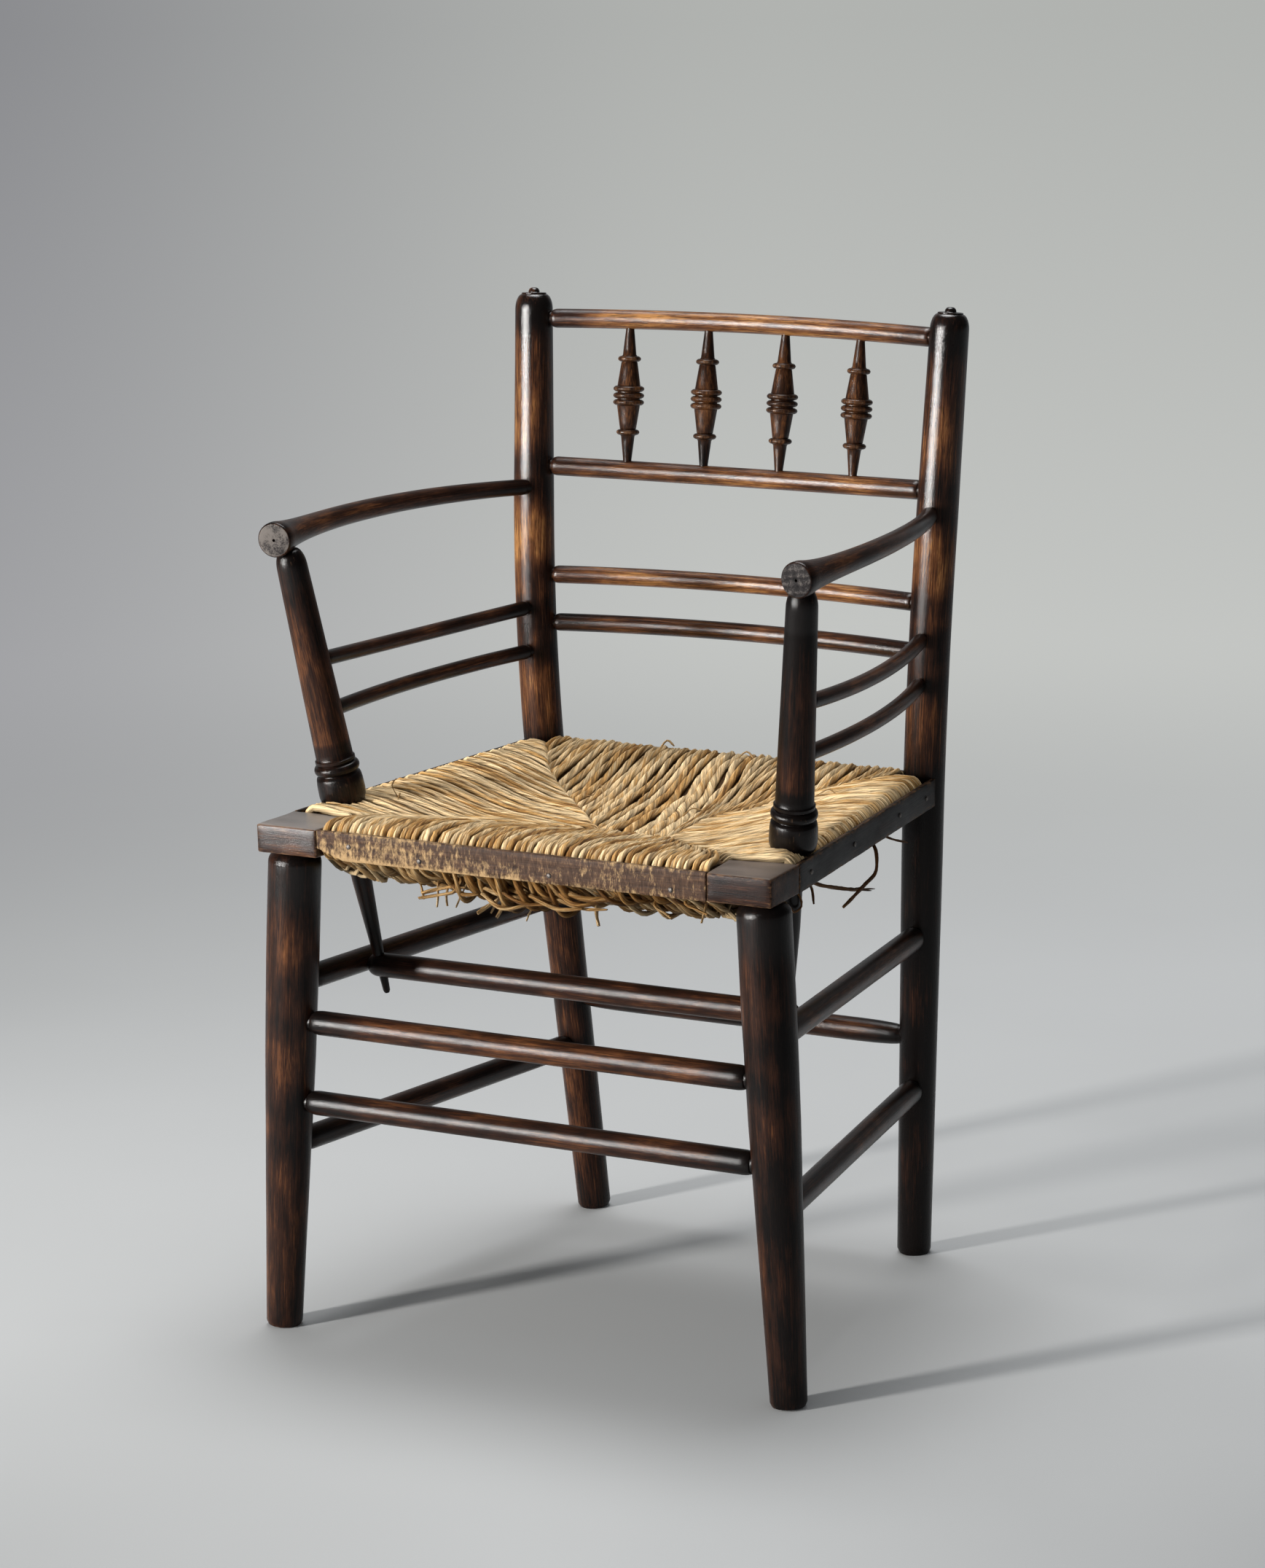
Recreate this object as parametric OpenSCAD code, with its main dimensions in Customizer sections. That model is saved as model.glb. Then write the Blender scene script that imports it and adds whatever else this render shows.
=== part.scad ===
// Turned wooden armchair with a rush seat, bowed arms and a spindle back.
// All lengths are millimetres. +Z is up, +X is the sitter's left and -Y is the front.
// The origin is on the floor, under the middle of the chair.
// Each paired piece is built once, on the +X side, and mirrored for the other side.

/* [Overall] */
// Height of the posts' tips above the floor
overall_height = 850; // [820:1:900]
// Depth from the front of the seat frame to the back of the rear feet
overall_depth = 453; // [430:1:480]

/* [Seat frame] */
// Height of the frame's top edge above the floor
seat_height = 446; // [425:1:465]
// Height of the frame's blocks and edge strips
frame_height = 24.5; // [20:0.5:30]
// Width across the front face of the corner blocks
seat_front_width = 480; // [460:1:500]
// Width across the back of the corner blocks
seat_shoulder_width = 476; // [460:1:496]
// Width across the rear ends of the side strips
seat_rear_width = 407; // [390:1:415]
// Width of a corner block at its front face
block_width = 58; // [50:1:64]
// Extra width of a corner block at its back face
block_flare = 3; // [0:0.5:6]
// Depth of a corner block, front to back
block_depth = 56; // [50:1:64]
// Thickness of the edge strips
strip_thickness = 5; // [3:0.5:7]
// How far the back strip's outer face lies behind the posts' axis
back_strip_set = 10; // [6:0.5:12]
// Thickness of the seat rails inside the rush
rail_thickness = 16; // [12:0.5:17]
// Depth of the front seat rail's bar between its blocks
front_rail_width = 26; // [20:1:36]
// Width of a side seat rail at its front end
side_rail_front_width = 36; // [32:1:40]
// Width of a side seat rail at its rear end
side_rail_rear_width = 18; // [14:1:24]
// Width of the rear seat rail
rear_rail_width = 24; // [18:1:28]
// Diameter of the seat rails' tenons
seat_tenon_d = 12; // [9:0.5:14]

/* [Rush seat] */
// Thickness of rush between a rail and its strip
rush_side = 6; // [4:0.5:8]
// Height of the rush above the frame's top edge, over the rails
rush_crown = 5; // [2:0.5:9]
// How far the middle of the seat dips below the crown
rush_dip = 14; // [4:1:20]
// How far the rush hangs below the frame at its edges
rush_hem = 3; // [1:0.5:6]
// How far the rush hangs below the frame in the middle
rush_belly = 28; // [8:1:34]
// Width of the rounded border over the rails
rush_border = 46; // [30:1:60]

/* [Front legs] */
// Distance between the front legs' axes at the floor
leg_foot_spread = 483; // [470:1:500]
// Distance between the front legs' axes under the blocks
leg_top_spread = 439; // [430:1:446]
// Distance of a leg's foot behind the seat's front face
leg_foot_back = 22.5; // [18:0.5:30]
// Distance of a leg's top behind the seat's front face
leg_top_back = 27.5; // [25:0.5:32]
// Diameter of a front leg in its upper part
leg_top_d = 45; // [42:0.5:48]
// Diameter of a front leg two thirds of the way up
leg_mid_d = 43; // [38:0.5:45]
// Diameter of a front foot
leg_foot_d = 31; // [28:0.5:36]
// Rounding of a leg's shoulder under the block
leg_shoulder = 12; // [8:0.5:14]
// Diameter of a front leg's tenon
leg_tenon_d = 20; // [16:0.5:21]
// Depth of a front leg's tenon in its block
leg_tenon_depth = 17; // [12:0.5:18]

/* [Rear posts] */
// Distance between the posts' axes at the floor
post_foot_spread = 325; // [310:1:340]
// Distance between the posts' axes at the corner of the bend
post_bend_spread = 386; // [376:1:392]
// Distance between the posts' axes at the top
post_top_spread = 406; // [396:1:416]
// How far the bend's corner lies in front of the foot
post_lean_low = 41.5; // [35:0.5:46]
// How far the top lies behind the bend's corner
post_lean_high = 30.5; // [25:0.5:36]
// Height of the bend's corner
post_bend_height = 520; // [500:1:540]
// Length of post that is bent
post_bend_length = 293; // [240:1:300]
// Diameter of a post at the floor
post_foot_d = 30; // [27:0.5:33]
// Diameter of a post in the bend
post_d = 36; // [34:0.5:38]
// Diameter of a post under its domed top
post_top_d = 33.5; // [31:0.5:36]
// Height of the domed top
post_dome = 14; // [10:1:18]
// Diameter of the disc on the dome
disc_d = 22; // [18:0.5:25]
// Height of the nub on the disc
nub_height = 4.5; // [3:0.5:7]

/* [Back] */
// How far the top back rail lies below the posts' tips
rail_1_drop = 27; // [22:0.5:35]
// Height of the second back rail at the posts
rail_2_z = 693.5; // [690:0.5:705]
// Height of the third back rail at the posts
rail_3_z = 596; // [590:0.5:610]
// Height of the lowest back rail at the posts
rail_4_z = 553; // [550:0.5:554]
// Diameter of the upper two back rails
high_rail_d = 17; // [15:0.5:18]
// Diameter of the lower two back rails
low_rail_d = 16; // [14:0.5:17]
// How far the top rail bows to the rear
rail_1_bow = 21.5; // [12:0.5:26]
// How far the second rail bows to the rear
rail_2_bow = 17; // [12:0.5:26]
// How far the lower two rails bow to the rear
low_rail_bow = 21; // [12:0.5:26]
// How far the top rail rises in the middle
rail_1_rise = 1.5; // [-4:0.5:4]
// How far the second rail rises in the middle
rail_2_rise = -2.5; // [-4:0.5:4]
// How far the lower two rails rise in the middle
low_rail_rise = 1; // [-4:0.5:4]
// Diameter of a back rail's tenon
back_tenon_d = 12.5; // [10:0.5:13.5]
// Number of turned spindles between the upper two rails
spindle_count = 4; // [2:1:5]
// Spacing of the spindles as a share of half the rail
spindle_pitch = 0.37; // [0.3:0.01:0.4]
// Diameter of a spindle's ends
spindle_end_d = 7.5; // [6:0.5:9]
// Diameter of a spindle's three middle beads
spindle_bead_d = 27.5; // [24:0.5:30]
// Diameter of a spindle's collars
spindle_collar_d = 20.5; // [18:0.5:23]
// Diameter of a spindle's body beside the middle beads
spindle_body_d = 20.5; // [18:0.5:23]
// Diameter of a spindle beside its collars
spindle_neck_d = 12; // [10:0.5:14]
// Depth of a spindle's ends in the rails
spindle_tenon = 5; // [3:0.5:6]

/* [Arms] */
// Distance between the centres of the arms' front discs
arm_spread = 484; // [474:1:490]
// Distance of the discs behind the seat's front face
arm_back = 44; // [36:1:54]
// Height of a disc's centre
arm_front_z = 678.5; // [660:0.5:700]
// Height at which an arm enters its post
arm_rear_z = 675.5; // [660:0.5:682]
// How far an arm bows outward
arm_bow = 23.5; // [15:0.5:30]
// How far an arm rises in the middle
arm_rise = 4.5; // [0:0.5:8]
// Diameter of an arm's front disc
arm_disc_d = 30; // [27:0.5:34]
// Diameter from which an arm tapers, behind its disc
arm_taper_d = 19.5; // [17:0.5:22]
// Diameter of an arm where it enters the post
arm_end_d = 14; // [12:0.5:15]

/* [Arm supports] */
// Distance between the supports' axes at their tops
support_top_spread = 478; // [468:1:482]
// Distance of the supports' tops behind the seat's front face
support_top_back = 62; // [56:1:72]
// Distance between the supports' axes at their tips
support_tip_spread = 382; // [372:1:392]
// Distance of the supports' tips behind the seat's front face
support_tip_back = 123.5; // [112:0.5:134]
// Height of a support's tip
support_tip_z = 276; // [266:1:284]
// Diameter of a support under its dome
support_top_d = 26; // [23:0.5:29]
// Diameter of a support above its beads
support_mid_d = 32; // [29:0.5:35]
// Diameter of the bead
support_bead_d = 39; // [36:0.5:42]
// Diameter of the cup that stands on the seat
support_cup_d = 40; // [36:0.5:43]
// Height of the cup
support_cup_height = 28; // [24:1:32]
// Diameter of a support where it passes through the seat
support_seat_d = 18.5; // [16:0.5:20]
// Diameter of a support's tip
support_tip_d = 6; // [5:0.5:7]
// Diameter of the tenon in the arm
support_tenon_d = 12; // [9:0.5:13]

/* [Side rails under the arms] */
// Height of the upper side rail at the support
upper_rail_front_z = 571.5; // [560:0.5:590]
// Height of the upper side rail at the post
upper_rail_rear_z = 568.5; // [568:0.5:572]
// How far the upper side rail bows outward
upper_rail_bow = 12; // [6:0.5:18]
// How far the upper side rail rises in the middle
upper_rail_rise = -3.5; // [-6:0.5:4]
// Height of the lower side rail at the support
lower_rail_front_z = 526.5; // [515:0.5:540]
// Height of the lower side rail at the post
lower_rail_rear_z = 529; // [515:0.5:532]
// How far the lower side rail bows outward
lower_rail_bow = 14; // [6:0.5:18]
// How far the lower side rail rises in the middle
lower_rail_rise = -0.5; // [-6:0.5:4]
// Diameter of a side rail
side_rail_d = 13; // [11:0.5:14]
// Diameter of a side rail's tenon
side_tenon_d = 10; // [8:0.5:10.5]

/* [Stretchers] */
// Height of the upper front stretcher
front_upper_z = 272; // [262:0.5:278]
// Height of the lower front stretcher
front_lower_z = 201.5; // [190:0.5:215]
// Height of an upper side stretcher at the leg
side_upper_leg_z = 303.5; // [298:0.5:312]
// Height of an upper side stretcher at the post
side_upper_post_z = 301; // [294:0.5:312]
// Height of a lower side stretcher at the leg
side_lower_leg_z = 161; // [145:0.5:170]
// Height of a lower side stretcher at the post
side_lower_post_z = 158.5; // [145:0.5:170]
// Height of the rear stretcher
rear_stretcher_z = 205; // [195:0.5:220]
// How far the cross bar lies below the upper side stretchers
cross_bar_drop = 1.5; // [0:0.5:4]
// Diameter of the stretchers and the cross bar
stretcher_d = 21; // [19:0.5:22]
// Diameter of a stretcher's tenon
stretcher_tenon_d = 16; // [13:0.5:17]
// Length of a stretcher's rounded end
stretcher_round = 9; // [6:0.5:14]
// Length of the rear stretcher's tapered end
rear_taper = 42; // [25:1:60]
// Diameter of the cross bar's tenons in the side stretchers
bar_tenon_d = 11; // [9:0.5:12]

/* [Nails] */
// Sideways places of the front strip's nails, as shares of its half length
front_nail_x = [-0.825, -0.455, 0.215, 0.825]; // [-0.9:0.005:0.9]
// Heights of the front strip's nails from the rail's middle, as shares of its thickness
front_nail_rise = [0.05, -0.3, -0.3, -0.33]; // [-0.35:0.01:0.35]
// Sideways places of the rear strip's nails, as shares of the way to a post's axis
rear_nail_x = [-0.745, -0.275, 0.24, 0.725]; // [-0.78:0.005:0.78]
// Places of a side strip's nails, as shares of its length from the corner block
side_nail_back = [0.08, 0.385, 0.72, 0.925]; // [0.05:0.005:0.95]
// Diameter of a nail's head
nail_head_d = 4.5; // [3:0.5:6]
// Diameter of a nail's shank
nail_d = 1.6; // [1.2:0.1:2.2]
// Length of a nail's shank
nail_length = 16; // [13:0.5:18]

/* [Fits] */
// Clearance all round each tenon in its socket
fit = 0.15; // [0.05:0.05:0.3]
// Gap beyond the end of each tenon
end_gap = 0.5; // [0.3:0.1:1]
// Gap between pieces that only lie beside each other
side_gap = 0.2; // [0.1:0.05:0.4]
// Gap between the rush and the pieces that it touches
rush_gap = 0.3; // [0.2:0.05:0.6]
// Gap under each nail's head and round its shank
nail_gap = 0.1; // [0.05:0.05:0.2]

/* [Hidden] */
$fn = 64;
// Number of flats round an arm, and of grid lines across and along the rush
arm_sides = 24;
arm_steps = 24;
rush_columns = 18;
rush_rows = 16;
// Depths of the tenons below the surface of the piece that holds them
leg_depth = 15;
post_depth = 14;
support_depth = 12;
side_entry_depth = 12;
bar_depth = 7;
seat_side_depth = 13;
seat_rear_depth = 8;
arm_socket_depth = 9;
// Shoulders stand this far off the curved surfaces that they meet
shoulder_gap = 0.6;
rail_round = 5;
// The side members run to a line this far in front of a post's axis, and inboard of it
entry_front = 12;
entry_inboard = 2;
nub_d = 10;
// A straight end runs this far into the arc that it carries on, and is this much thinner
lap = 2;
lap_step = 0.15;

ebony = [0.13, 0.08, 0.06];
brown = [0.27, 0.16, 0.1];
worn = [0.36, 0.25, 0.15];
straw = [0.78, 0.64, 0.4];
iron = [0.2, 0.19, 0.19];

function unit(v) = v / norm(v);
function mix(a, b, t) = a + (b - a) * t;
function clamp01(t) = min(1, max(0, t));
function smooth(t) = let (c = clamp01(t)) c * c * (3 - 2 * c);
function reversed(list) = [for (i = [len(list) - 1 : -1 : 0]) list[i]];
function flip(p) = [-p[0], p[1], p[2]];
function at_height(a, b, z) = mix(a, b, (z - a[2]) / (b[2] - a[2]));

// Heights of the seat frame
front_y = -overall_depth / 2;
frame_z = seat_height - frame_height;
rail_z = frame_z + (frame_height - rail_thickness) / 2;
rail_mid_z = rail_z + rail_thickness / 2;
block_rear_y = front_y + block_depth;

// Axes of the legs, the bent posts and the arm supports, all on the +X side
leg_foot = [leg_foot_spread / 2, front_y + leg_foot_back, 0];
leg_top = [leg_top_spread / 2, front_y + leg_top_back, frame_z];
leg_knee_z = frame_z * 0.57;
leg_waist_z = frame_z * 0.78;
function leg_axis(z) = at_height(leg_foot, leg_top, z);
function leg_radius(z) =
    lookup(z, [[0, leg_foot_d], [leg_knee_z, leg_mid_d], [leg_waist_z, leg_top_d]]) / 2;

post_foot = [post_foot_spread / 2, overall_depth / 2 - post_foot_d / 2, 0];
post_corner = [post_bend_spread / 2, post_foot[1] - post_lean_low, post_bend_height];
post_tip = [post_top_spread / 2, post_corner[1] + post_lean_high, overall_height];
bend_start = post_corner - unit(post_corner - post_foot) * post_bend_length / 2;
bend_end = post_corner + unit(post_tip - post_corner) * post_bend_length / 2;
bend_angle = acos(unit(post_corner - post_foot) * unit(post_tip - post_corner));
bend_sagitta = post_bend_length / 2 * tan(bend_angle / 4) * cos(bend_angle / 2);
function bend_point(t) =
    mix(mix(bend_start, post_corner, t), mix(post_corner, bend_end, t), t);
function post_axis(z) =
    z < bend_start[2] ? at_height(post_foot, post_corner, z)
    : z > bend_end[2] ? at_height(post_corner, post_tip, z)
    : bend_point((z - bend_start[2]) / (bend_end[2] - bend_start[2]));
function post_radius(z) =
    lookup(z, [[0, post_foot_d], [bend_start[2], post_d],
               [bend_end[2], post_d], [post_tip[2], post_top_d]]) / 2;

support_top = [support_top_spread / 2, front_y + support_top_back, arm_front_z - 11];
support_tip = [support_tip_spread / 2, front_y + support_tip_back, support_tip_z];
function support_axis(z) = at_height(support_tip, support_top, z);
function support_length(z) = norm(support_top - support_axis(z));

// Outer side faces and rear face of the frame
strip_rear_y = post_axis(rail_mid_z)[1] - post_d / 4;
function side_face(y) =
    mix(seat_shoulder_width, seat_rear_width,
        (y - block_rear_y) / (strip_rear_y - block_rear_y)) / 2;
back_face_y = post_axis(rail_mid_z)[1] + back_strip_set;

// A bowed member is [start, end, bow], where bow is the offset of its middle
function arc_along(m) = unit(m[1] - m[0]);
function arc_out(m) = unit(m[2] - arc_along(m) * (m[2] * arc_along(m)));
function arc_half(m) = norm(m[1] - m[0]) / 2;
function arc_radius(m) =
    (pow(arc_half(m), 2) + pow(norm(m[2]), 2)) / (2 * norm(m[2]));
function arc_sweep(m) = asin(arc_half(m) / arc_radius(m));
function arc_centre(m) =
    (m[0] + m[1]) / 2 + arc_out(m) * (norm(m[2]) - arc_radius(m));
function arc_point(m, angle) =
    arc_centre(m)
    + arc_radius(m) * (cos(angle) * arc_out(m) + sin(angle) * arc_along(m));
function arc_tangent(m, angle) = cos(angle) * arc_along(m) - sin(angle) * arc_out(m);
function arc_turn(m, length) = length / arc_radius(m) * 180 / PI;

// Quarter of an ellipse from [r0, z0], where it runs along the axis, to [r1, z1]
function round_end(r0, z0, r1, z1, steps = 5) =
    [for (i = [0 : steps]) [r1 + (r0 - r1) * cos(90 * i / steps),
                            z0 + (z1 - z0) * sin(90 * i / steps)]];
// Bead that stands out from radius r between two heights
function bead(r, proud, z0, z1, steps = 6) =
    [for (i = [0 : steps]) [r + proud * sin(180 * i / steps),
                            mix(z0, z1, (1 - cos(180 * i / steps)) / 2)]];

// Puts the children's Z axis on the line from a towards b, with its zero at a,
// and turns them about that axis
module aim(a, b, turn = 0) {
    v = b - a;
    translate(a)
        rotate([0, acos(v[2] / norm(v)), atan2(v[1], v[0])])
            rotate([0, 0, turn])
                children();
}

// Solid turned from [radius, distance from a] points, on the line from a towards b
module turned(a, b, points, turn = 0) {
    last = len(points) - 1;
    aim(a, b, turn)
        rotate_extrude()
            polygon(concat([[0, points[0][1]]], points, [[0, points[last][1]]]));
}

// Straight member between two axes, rounded where it meets the pieces that hold it
module straight_member(a, b, d, tenon_d, round, hold, depth) {
    e = tenon_d / 2;
    grow = (d - tenon_d) / 2;
    near = hold[0] + shoulder_gap;
    far = norm(b - a) - hold[1] - shoulder_gap;
    swell = [for (i = [0 : 5]) [e + grow * sin(18 * i), round * (1 - cos(18 * i))]];
    turned(a, b, concat(
        [[e, near - depth[0]]],
        [for (p = swell) [p[0], near + p[1]]],
        [for (p = reversed(swell)) [p[0], far - p[1]]],
        [[e, far + depth[1]]]));
}

// Socket for the end of a straight member that starts on the axis point a
module straight_socket(a, b, tenon_d, hold, depth) {
    aim(a, b)
        translate([0, 0, hold + shoulder_gap - depth - end_gap])
            cylinder(h = depth + end_gap + 6, d = tenon_d + 2 * fit);
}

// Lays local X out of the bow and local Y along the member, at the arc's centre
module arc_plane(m) {
    x = arc_out(m);
    y = arc_along(m);
    z = cross(x, y);
    c = arc_centre(m);
    multmatrix([[x[0], y[0], z[0], c[0]],
                [x[1], y[1], z[1], c[1]],
                [x[2], y[2], z[2], c[2]],
                [0, 0, 0, 1]])
        children();
}

// Round rod bent to an arc, cut short by the given angles at its two ends
module arc_rod(m, d, skip = [0, 0]) {
    first = skip[0] - arc_sweep(m);
    last = arc_sweep(m) - skip[1];
    arc_plane(m)
        rotate([0, 0, first])
            rotate_extrude(angle = last - first, $fn = 720)
                translate([arc_radius(m), 0])
                    circle(d = d, $fn = 64);
}

// End of a bowed member: a short taper and a tenon on the arc's tangent
module arc_end(m, angle, way, d, tenon_d, round, depth) {
    p = arc_point(m, angle);
    e = tenon_d / 2;
    r = d / 2 - lap_step;
    turned(p, p + arc_tangent(m, angle) * way, concat(
        [[r, -lap]],
        [for (i = [5 : -1 : 0]) [e + (r - e) * sin(18 * i), round * cos(18 * i)]],
        [[e, round + depth]]));
}

// Bowed member with rounded ends, held by pieces of radius hold[0] and hold[1]
module bowed_member(m, d, tenon_d, hold, depth) {
    skip = [for (h = hold) arc_turn(m, h + shoulder_gap + rail_round)];
    arc_rod(m, d, skip);
    arc_end(m, skip[0] - arc_sweep(m), -1, d, tenon_d, rail_round, depth);
    arc_end(m, arc_sweep(m) - skip[1], 1, d, tenon_d, rail_round, depth);
}

// Socket for the first end, or the last end, of a bowed member
module bowed_socket(m, tenon_d, hold, depth, last = false) {
    way = last ? 1 : -1;
    angle = way * (arc_sweep(m) - arc_turn(m, hold + shoulder_gap + rail_round));
    p = arc_point(m, angle);
    aim(p, p + arc_tangent(m, angle) * way)
        cylinder(h = rail_round + depth + end_gap, d = tenon_d + 2 * fit);
}

// Keeps a piece above the floor, so that its foot is flat and level
module above_floor() {
    intersection() {
        children();
        translate([-overall_height, -overall_height, 0])
            cube(2 * overall_height);
    }
}

// Builds the children on the sitter's left, or mirrors them to the right
module sided(right) {
    if (right) mirror([1, 0, 0]) children();
    else children();
}

// Lines of the members that join the uprights; sockets use the same lines
back_rails = [
    [overall_height - rail_1_drop, high_rail_d, rail_1_bow, rail_1_rise],
    [rail_2_z, high_rail_d, rail_2_bow, rail_2_rise],
    [rail_3_z, low_rail_d, low_rail_bow, low_rail_rise],
    [rail_4_z, low_rail_d, low_rail_bow, low_rail_rise]];
side_rails = [
    [upper_rail_front_z, upper_rail_rear_z, upper_rail_bow, upper_rail_rise],
    [lower_rail_front_z, lower_rail_rear_z, lower_rail_bow, lower_rail_rise]];
side_stretchers = [
    [side_upper_leg_z, side_upper_post_z],
    [side_lower_leg_z, side_lower_post_z]];
front_stretchers = [front_upper_z, front_lower_z];

function back_rail_line(i) =
    let (r = back_rails[i], p = post_axis(r[0])) [p, flip(p), [0, r[2], r[3]]];
function post_front(z) = post_axis(z) - [entry_inboard, entry_front, 0];
function side_rail_line(i) =
    let (r = side_rails[i]) [support_axis(r[0]), post_front(r[1]), [r[2], 0, r[3]]];
arm_line = [[arm_spread / 2, front_y + arm_back, arm_front_z], post_front(arm_rear_z),
            [arm_bow, 0, arm_rise]];
entry_hold = post_d / 2 - entry_front + 1;
support_hold = support_mid_d / 2 + 0.8;

// The cross bar lies where the supports' tapered ends pass the upper side stretchers
bar_z = mix(side_upper_leg_z, side_upper_post_z, 0.25) - cross_bar_drop;
bar_y = support_axis(bar_z)[1];
bar_line_a = leg_axis(side_upper_leg_z);
bar_line_b = post_axis(side_upper_post_z);
bar_end = [mix(bar_line_a, bar_line_b,
               (bar_y - bar_line_a[1]) / (bar_line_b[1] - bar_line_a[1]))[0], bar_y, bar_z];

// Centre lines of the seat rails
side_seat_front = [side_face(block_rear_y) - strip_thickness - rush_side
                   - side_rail_front_width / 2, block_rear_y, rail_mid_z];
side_seat_rear = post_axis(rail_mid_z);
rear_seat_end = post_axis(rail_mid_z) - [0, 7, 0];

module post_body() {
    chord_mid = (bend_start + bend_end) / 2;
    low = norm(bend_start - post_foot);
    high = norm(post_tip - bend_end);
    disc_z = high - nub_height - 1.2;
    foot_r = post_foot_d / 2;
    turned(bend_start, post_foot, concat(
        [[post_d / 2 - lap_step, -lap]],
        round_end(foot_r, low - 4, foot_r - 4, low + 2.5)));
    arc_rod([bend_start, bend_end, unit(post_corner - chord_mid) * bend_sagitta], post_d);
    turned(bend_end, post_tip, concat(
        [[post_d / 2 - lap_step, -lap]],
        round_end(post_top_d / 2, disc_z - post_dome, disc_d / 2 - 1, disc_z),
        [[disc_d / 2, disc_z], [disc_d / 2, disc_z + 1.2]],
        round_end(nub_d / 2, disc_z + 1.2, 1.5, high)));
}

// One of the two bent rear posts, with the sockets of everything that it holds
module rear_post(right) {
    color(ebony)
        sided(right)
            difference() {
                above_floor() post_body();
                for (i = [0 : 3])
                    bowed_socket(back_rail_line(i), back_tenon_d,
                        post_radius(back_rails[i][0]), post_depth);
                for (i = [0, 1])
                    bowed_socket(side_rail_line(i), side_tenon_d, entry_hold,
                        side_entry_depth, true);
                bowed_socket(arm_line, arm_tenon_d, entry_hold, side_entry_depth, true);
                for (s = side_stretchers)
                    straight_socket(post_axis(s[1]), leg_axis(s[0]), stretcher_tenon_d,
                        post_radius(s[1]), post_depth);
                straight_socket(post_axis(rear_stretcher_z), flip(post_axis(rear_stretcher_z)),
                    stretcher_tenon_d, post_radius(rear_stretcher_z), post_depth);
                straight_socket(side_seat_rear, side_seat_front, seat_tenon_d,
                    post_d / 2, seat_side_depth);
                straight_socket(rear_seat_end, flip(rear_seat_end), seat_tenon_d,
                    post_d / 2, seat_rear_depth);
            }
}

// One of the two turned front legs
module front_leg(right) {
    full = norm(leg_top - leg_foot);
    foot_r = leg_foot_d / 2;
    color(ebony)
        sided(right)
            difference() {
                above_floor()
                    turned(leg_foot, leg_top, concat(
                        reversed(round_end(foot_r, 4, foot_r - 4, -2.5)),
                        [[leg_mid_d / 2, leg_knee_z], [leg_top_d / 2, leg_waist_z]],
                        round_end(leg_top_d / 2, full - leg_shoulder,
                            leg_top_d / 2 - leg_shoulder, full - shoulder_gap),
                        [[leg_tenon_d / 2, full - shoulder_gap],
                         [leg_tenon_d / 2, full + leg_tenon_depth]]));
                for (z = front_stretchers)
                    straight_socket(leg_axis(z), flip(leg_axis(z)), stretcher_tenon_d,
                        leg_radius(z), leg_depth);
                for (s = side_stretchers)
                    straight_socket(leg_axis(s[0]), post_axis(s[1]), stretcher_tenon_d,
                        leg_radius(s[0]), leg_depth);
            }
}

// Diameter of an arm at a distance behind its front face
arm_length = 2 * arc_sweep(arm_line) * PI / 180 * arc_radius(arm_line);
function arm_d(s) =
    s < 8 ? lookup(s, [[0, arm_disc_d - 4], [0.8, arm_disc_d - 1.5],
                       [2.5, arm_disc_d], [8, arm_disc_d]])
    : mix(arm_taper_d, arm_end_d, s / arm_length)
      + (arm_disc_d - arm_taper_d) * exp(-(s - 8) / 28) * smooth(1.2 - s / arm_length);
arm_tenon_d = arm_end_d - 0.8;
arm_joint = arm_length - entry_hold - shoulder_gap - rail_round;
arm_rings = concat([0, 0.8, 2.5, 5],
    [for (i = [0 : arm_steps - 4]) mix(8, arm_joint, pow(i / (arm_steps - 4), 1.7))]);

// One ring of points round the arm
function arm_ring(s) =
    let (m = arm_line, angle = arc_turn(m, s) - arc_sweep(m), r = arm_d(s) / 2,
         out = cos(angle) * arc_out(m) + sin(angle) * arc_along(m),
         up = cross(arc_out(m), arc_along(m)))
    [for (j = [0 : arm_sides - 1])
        arc_point(m, angle)
        + r * (cos(360 * j / arm_sides) * out + sin(360 * j / arm_sides) * up)];

module arm_sweep() {
    last = len(arm_rings) - 1;
    polyhedron(
        points = [for (s = arm_rings) each arm_ring(s)],
        faces = concat(
            [[for (j = [arm_sides - 1 : -1 : 0]) j]],
            [[for (j = [0 : arm_sides - 1]) last * arm_sides + j]],
            [for (i = [0 : last - 1], j = [0 : arm_sides - 1])
                let (k = (j + 1) % arm_sides, a = i * arm_sides, b = a + arm_sides)
                each [[a + j, b + k, b + j], [a + j, a + k, b + k]]]));
}

// One of the two bowed arms, with a flat disc at its front
module arm(right) {
    m = arm_line;
    front = m[0];
    color(brown)
        sided(right)
            difference() {
                union() {
                    arm_sweep();
                    arc_end(m, arc_turn(m, arm_joint) - arc_sweep(m), 1,
                        arm_tenon_d + 2 * lap_step, arm_tenon_d, rail_round,
                        side_entry_depth);
                }
                aim(support_top, support_top - support_tip + support_top)
                    translate([0, 0, -8])
                        cylinder(h = 8 + arm_socket_depth + end_gap,
                            d = support_tenon_d + 2 * fit);
                aim(front, front + arc_tangent(m, -arc_sweep(m)))
                    translate([0, 0, -1])
                        cylinder(h = 4, d = 2.4);
            }
}

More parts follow.
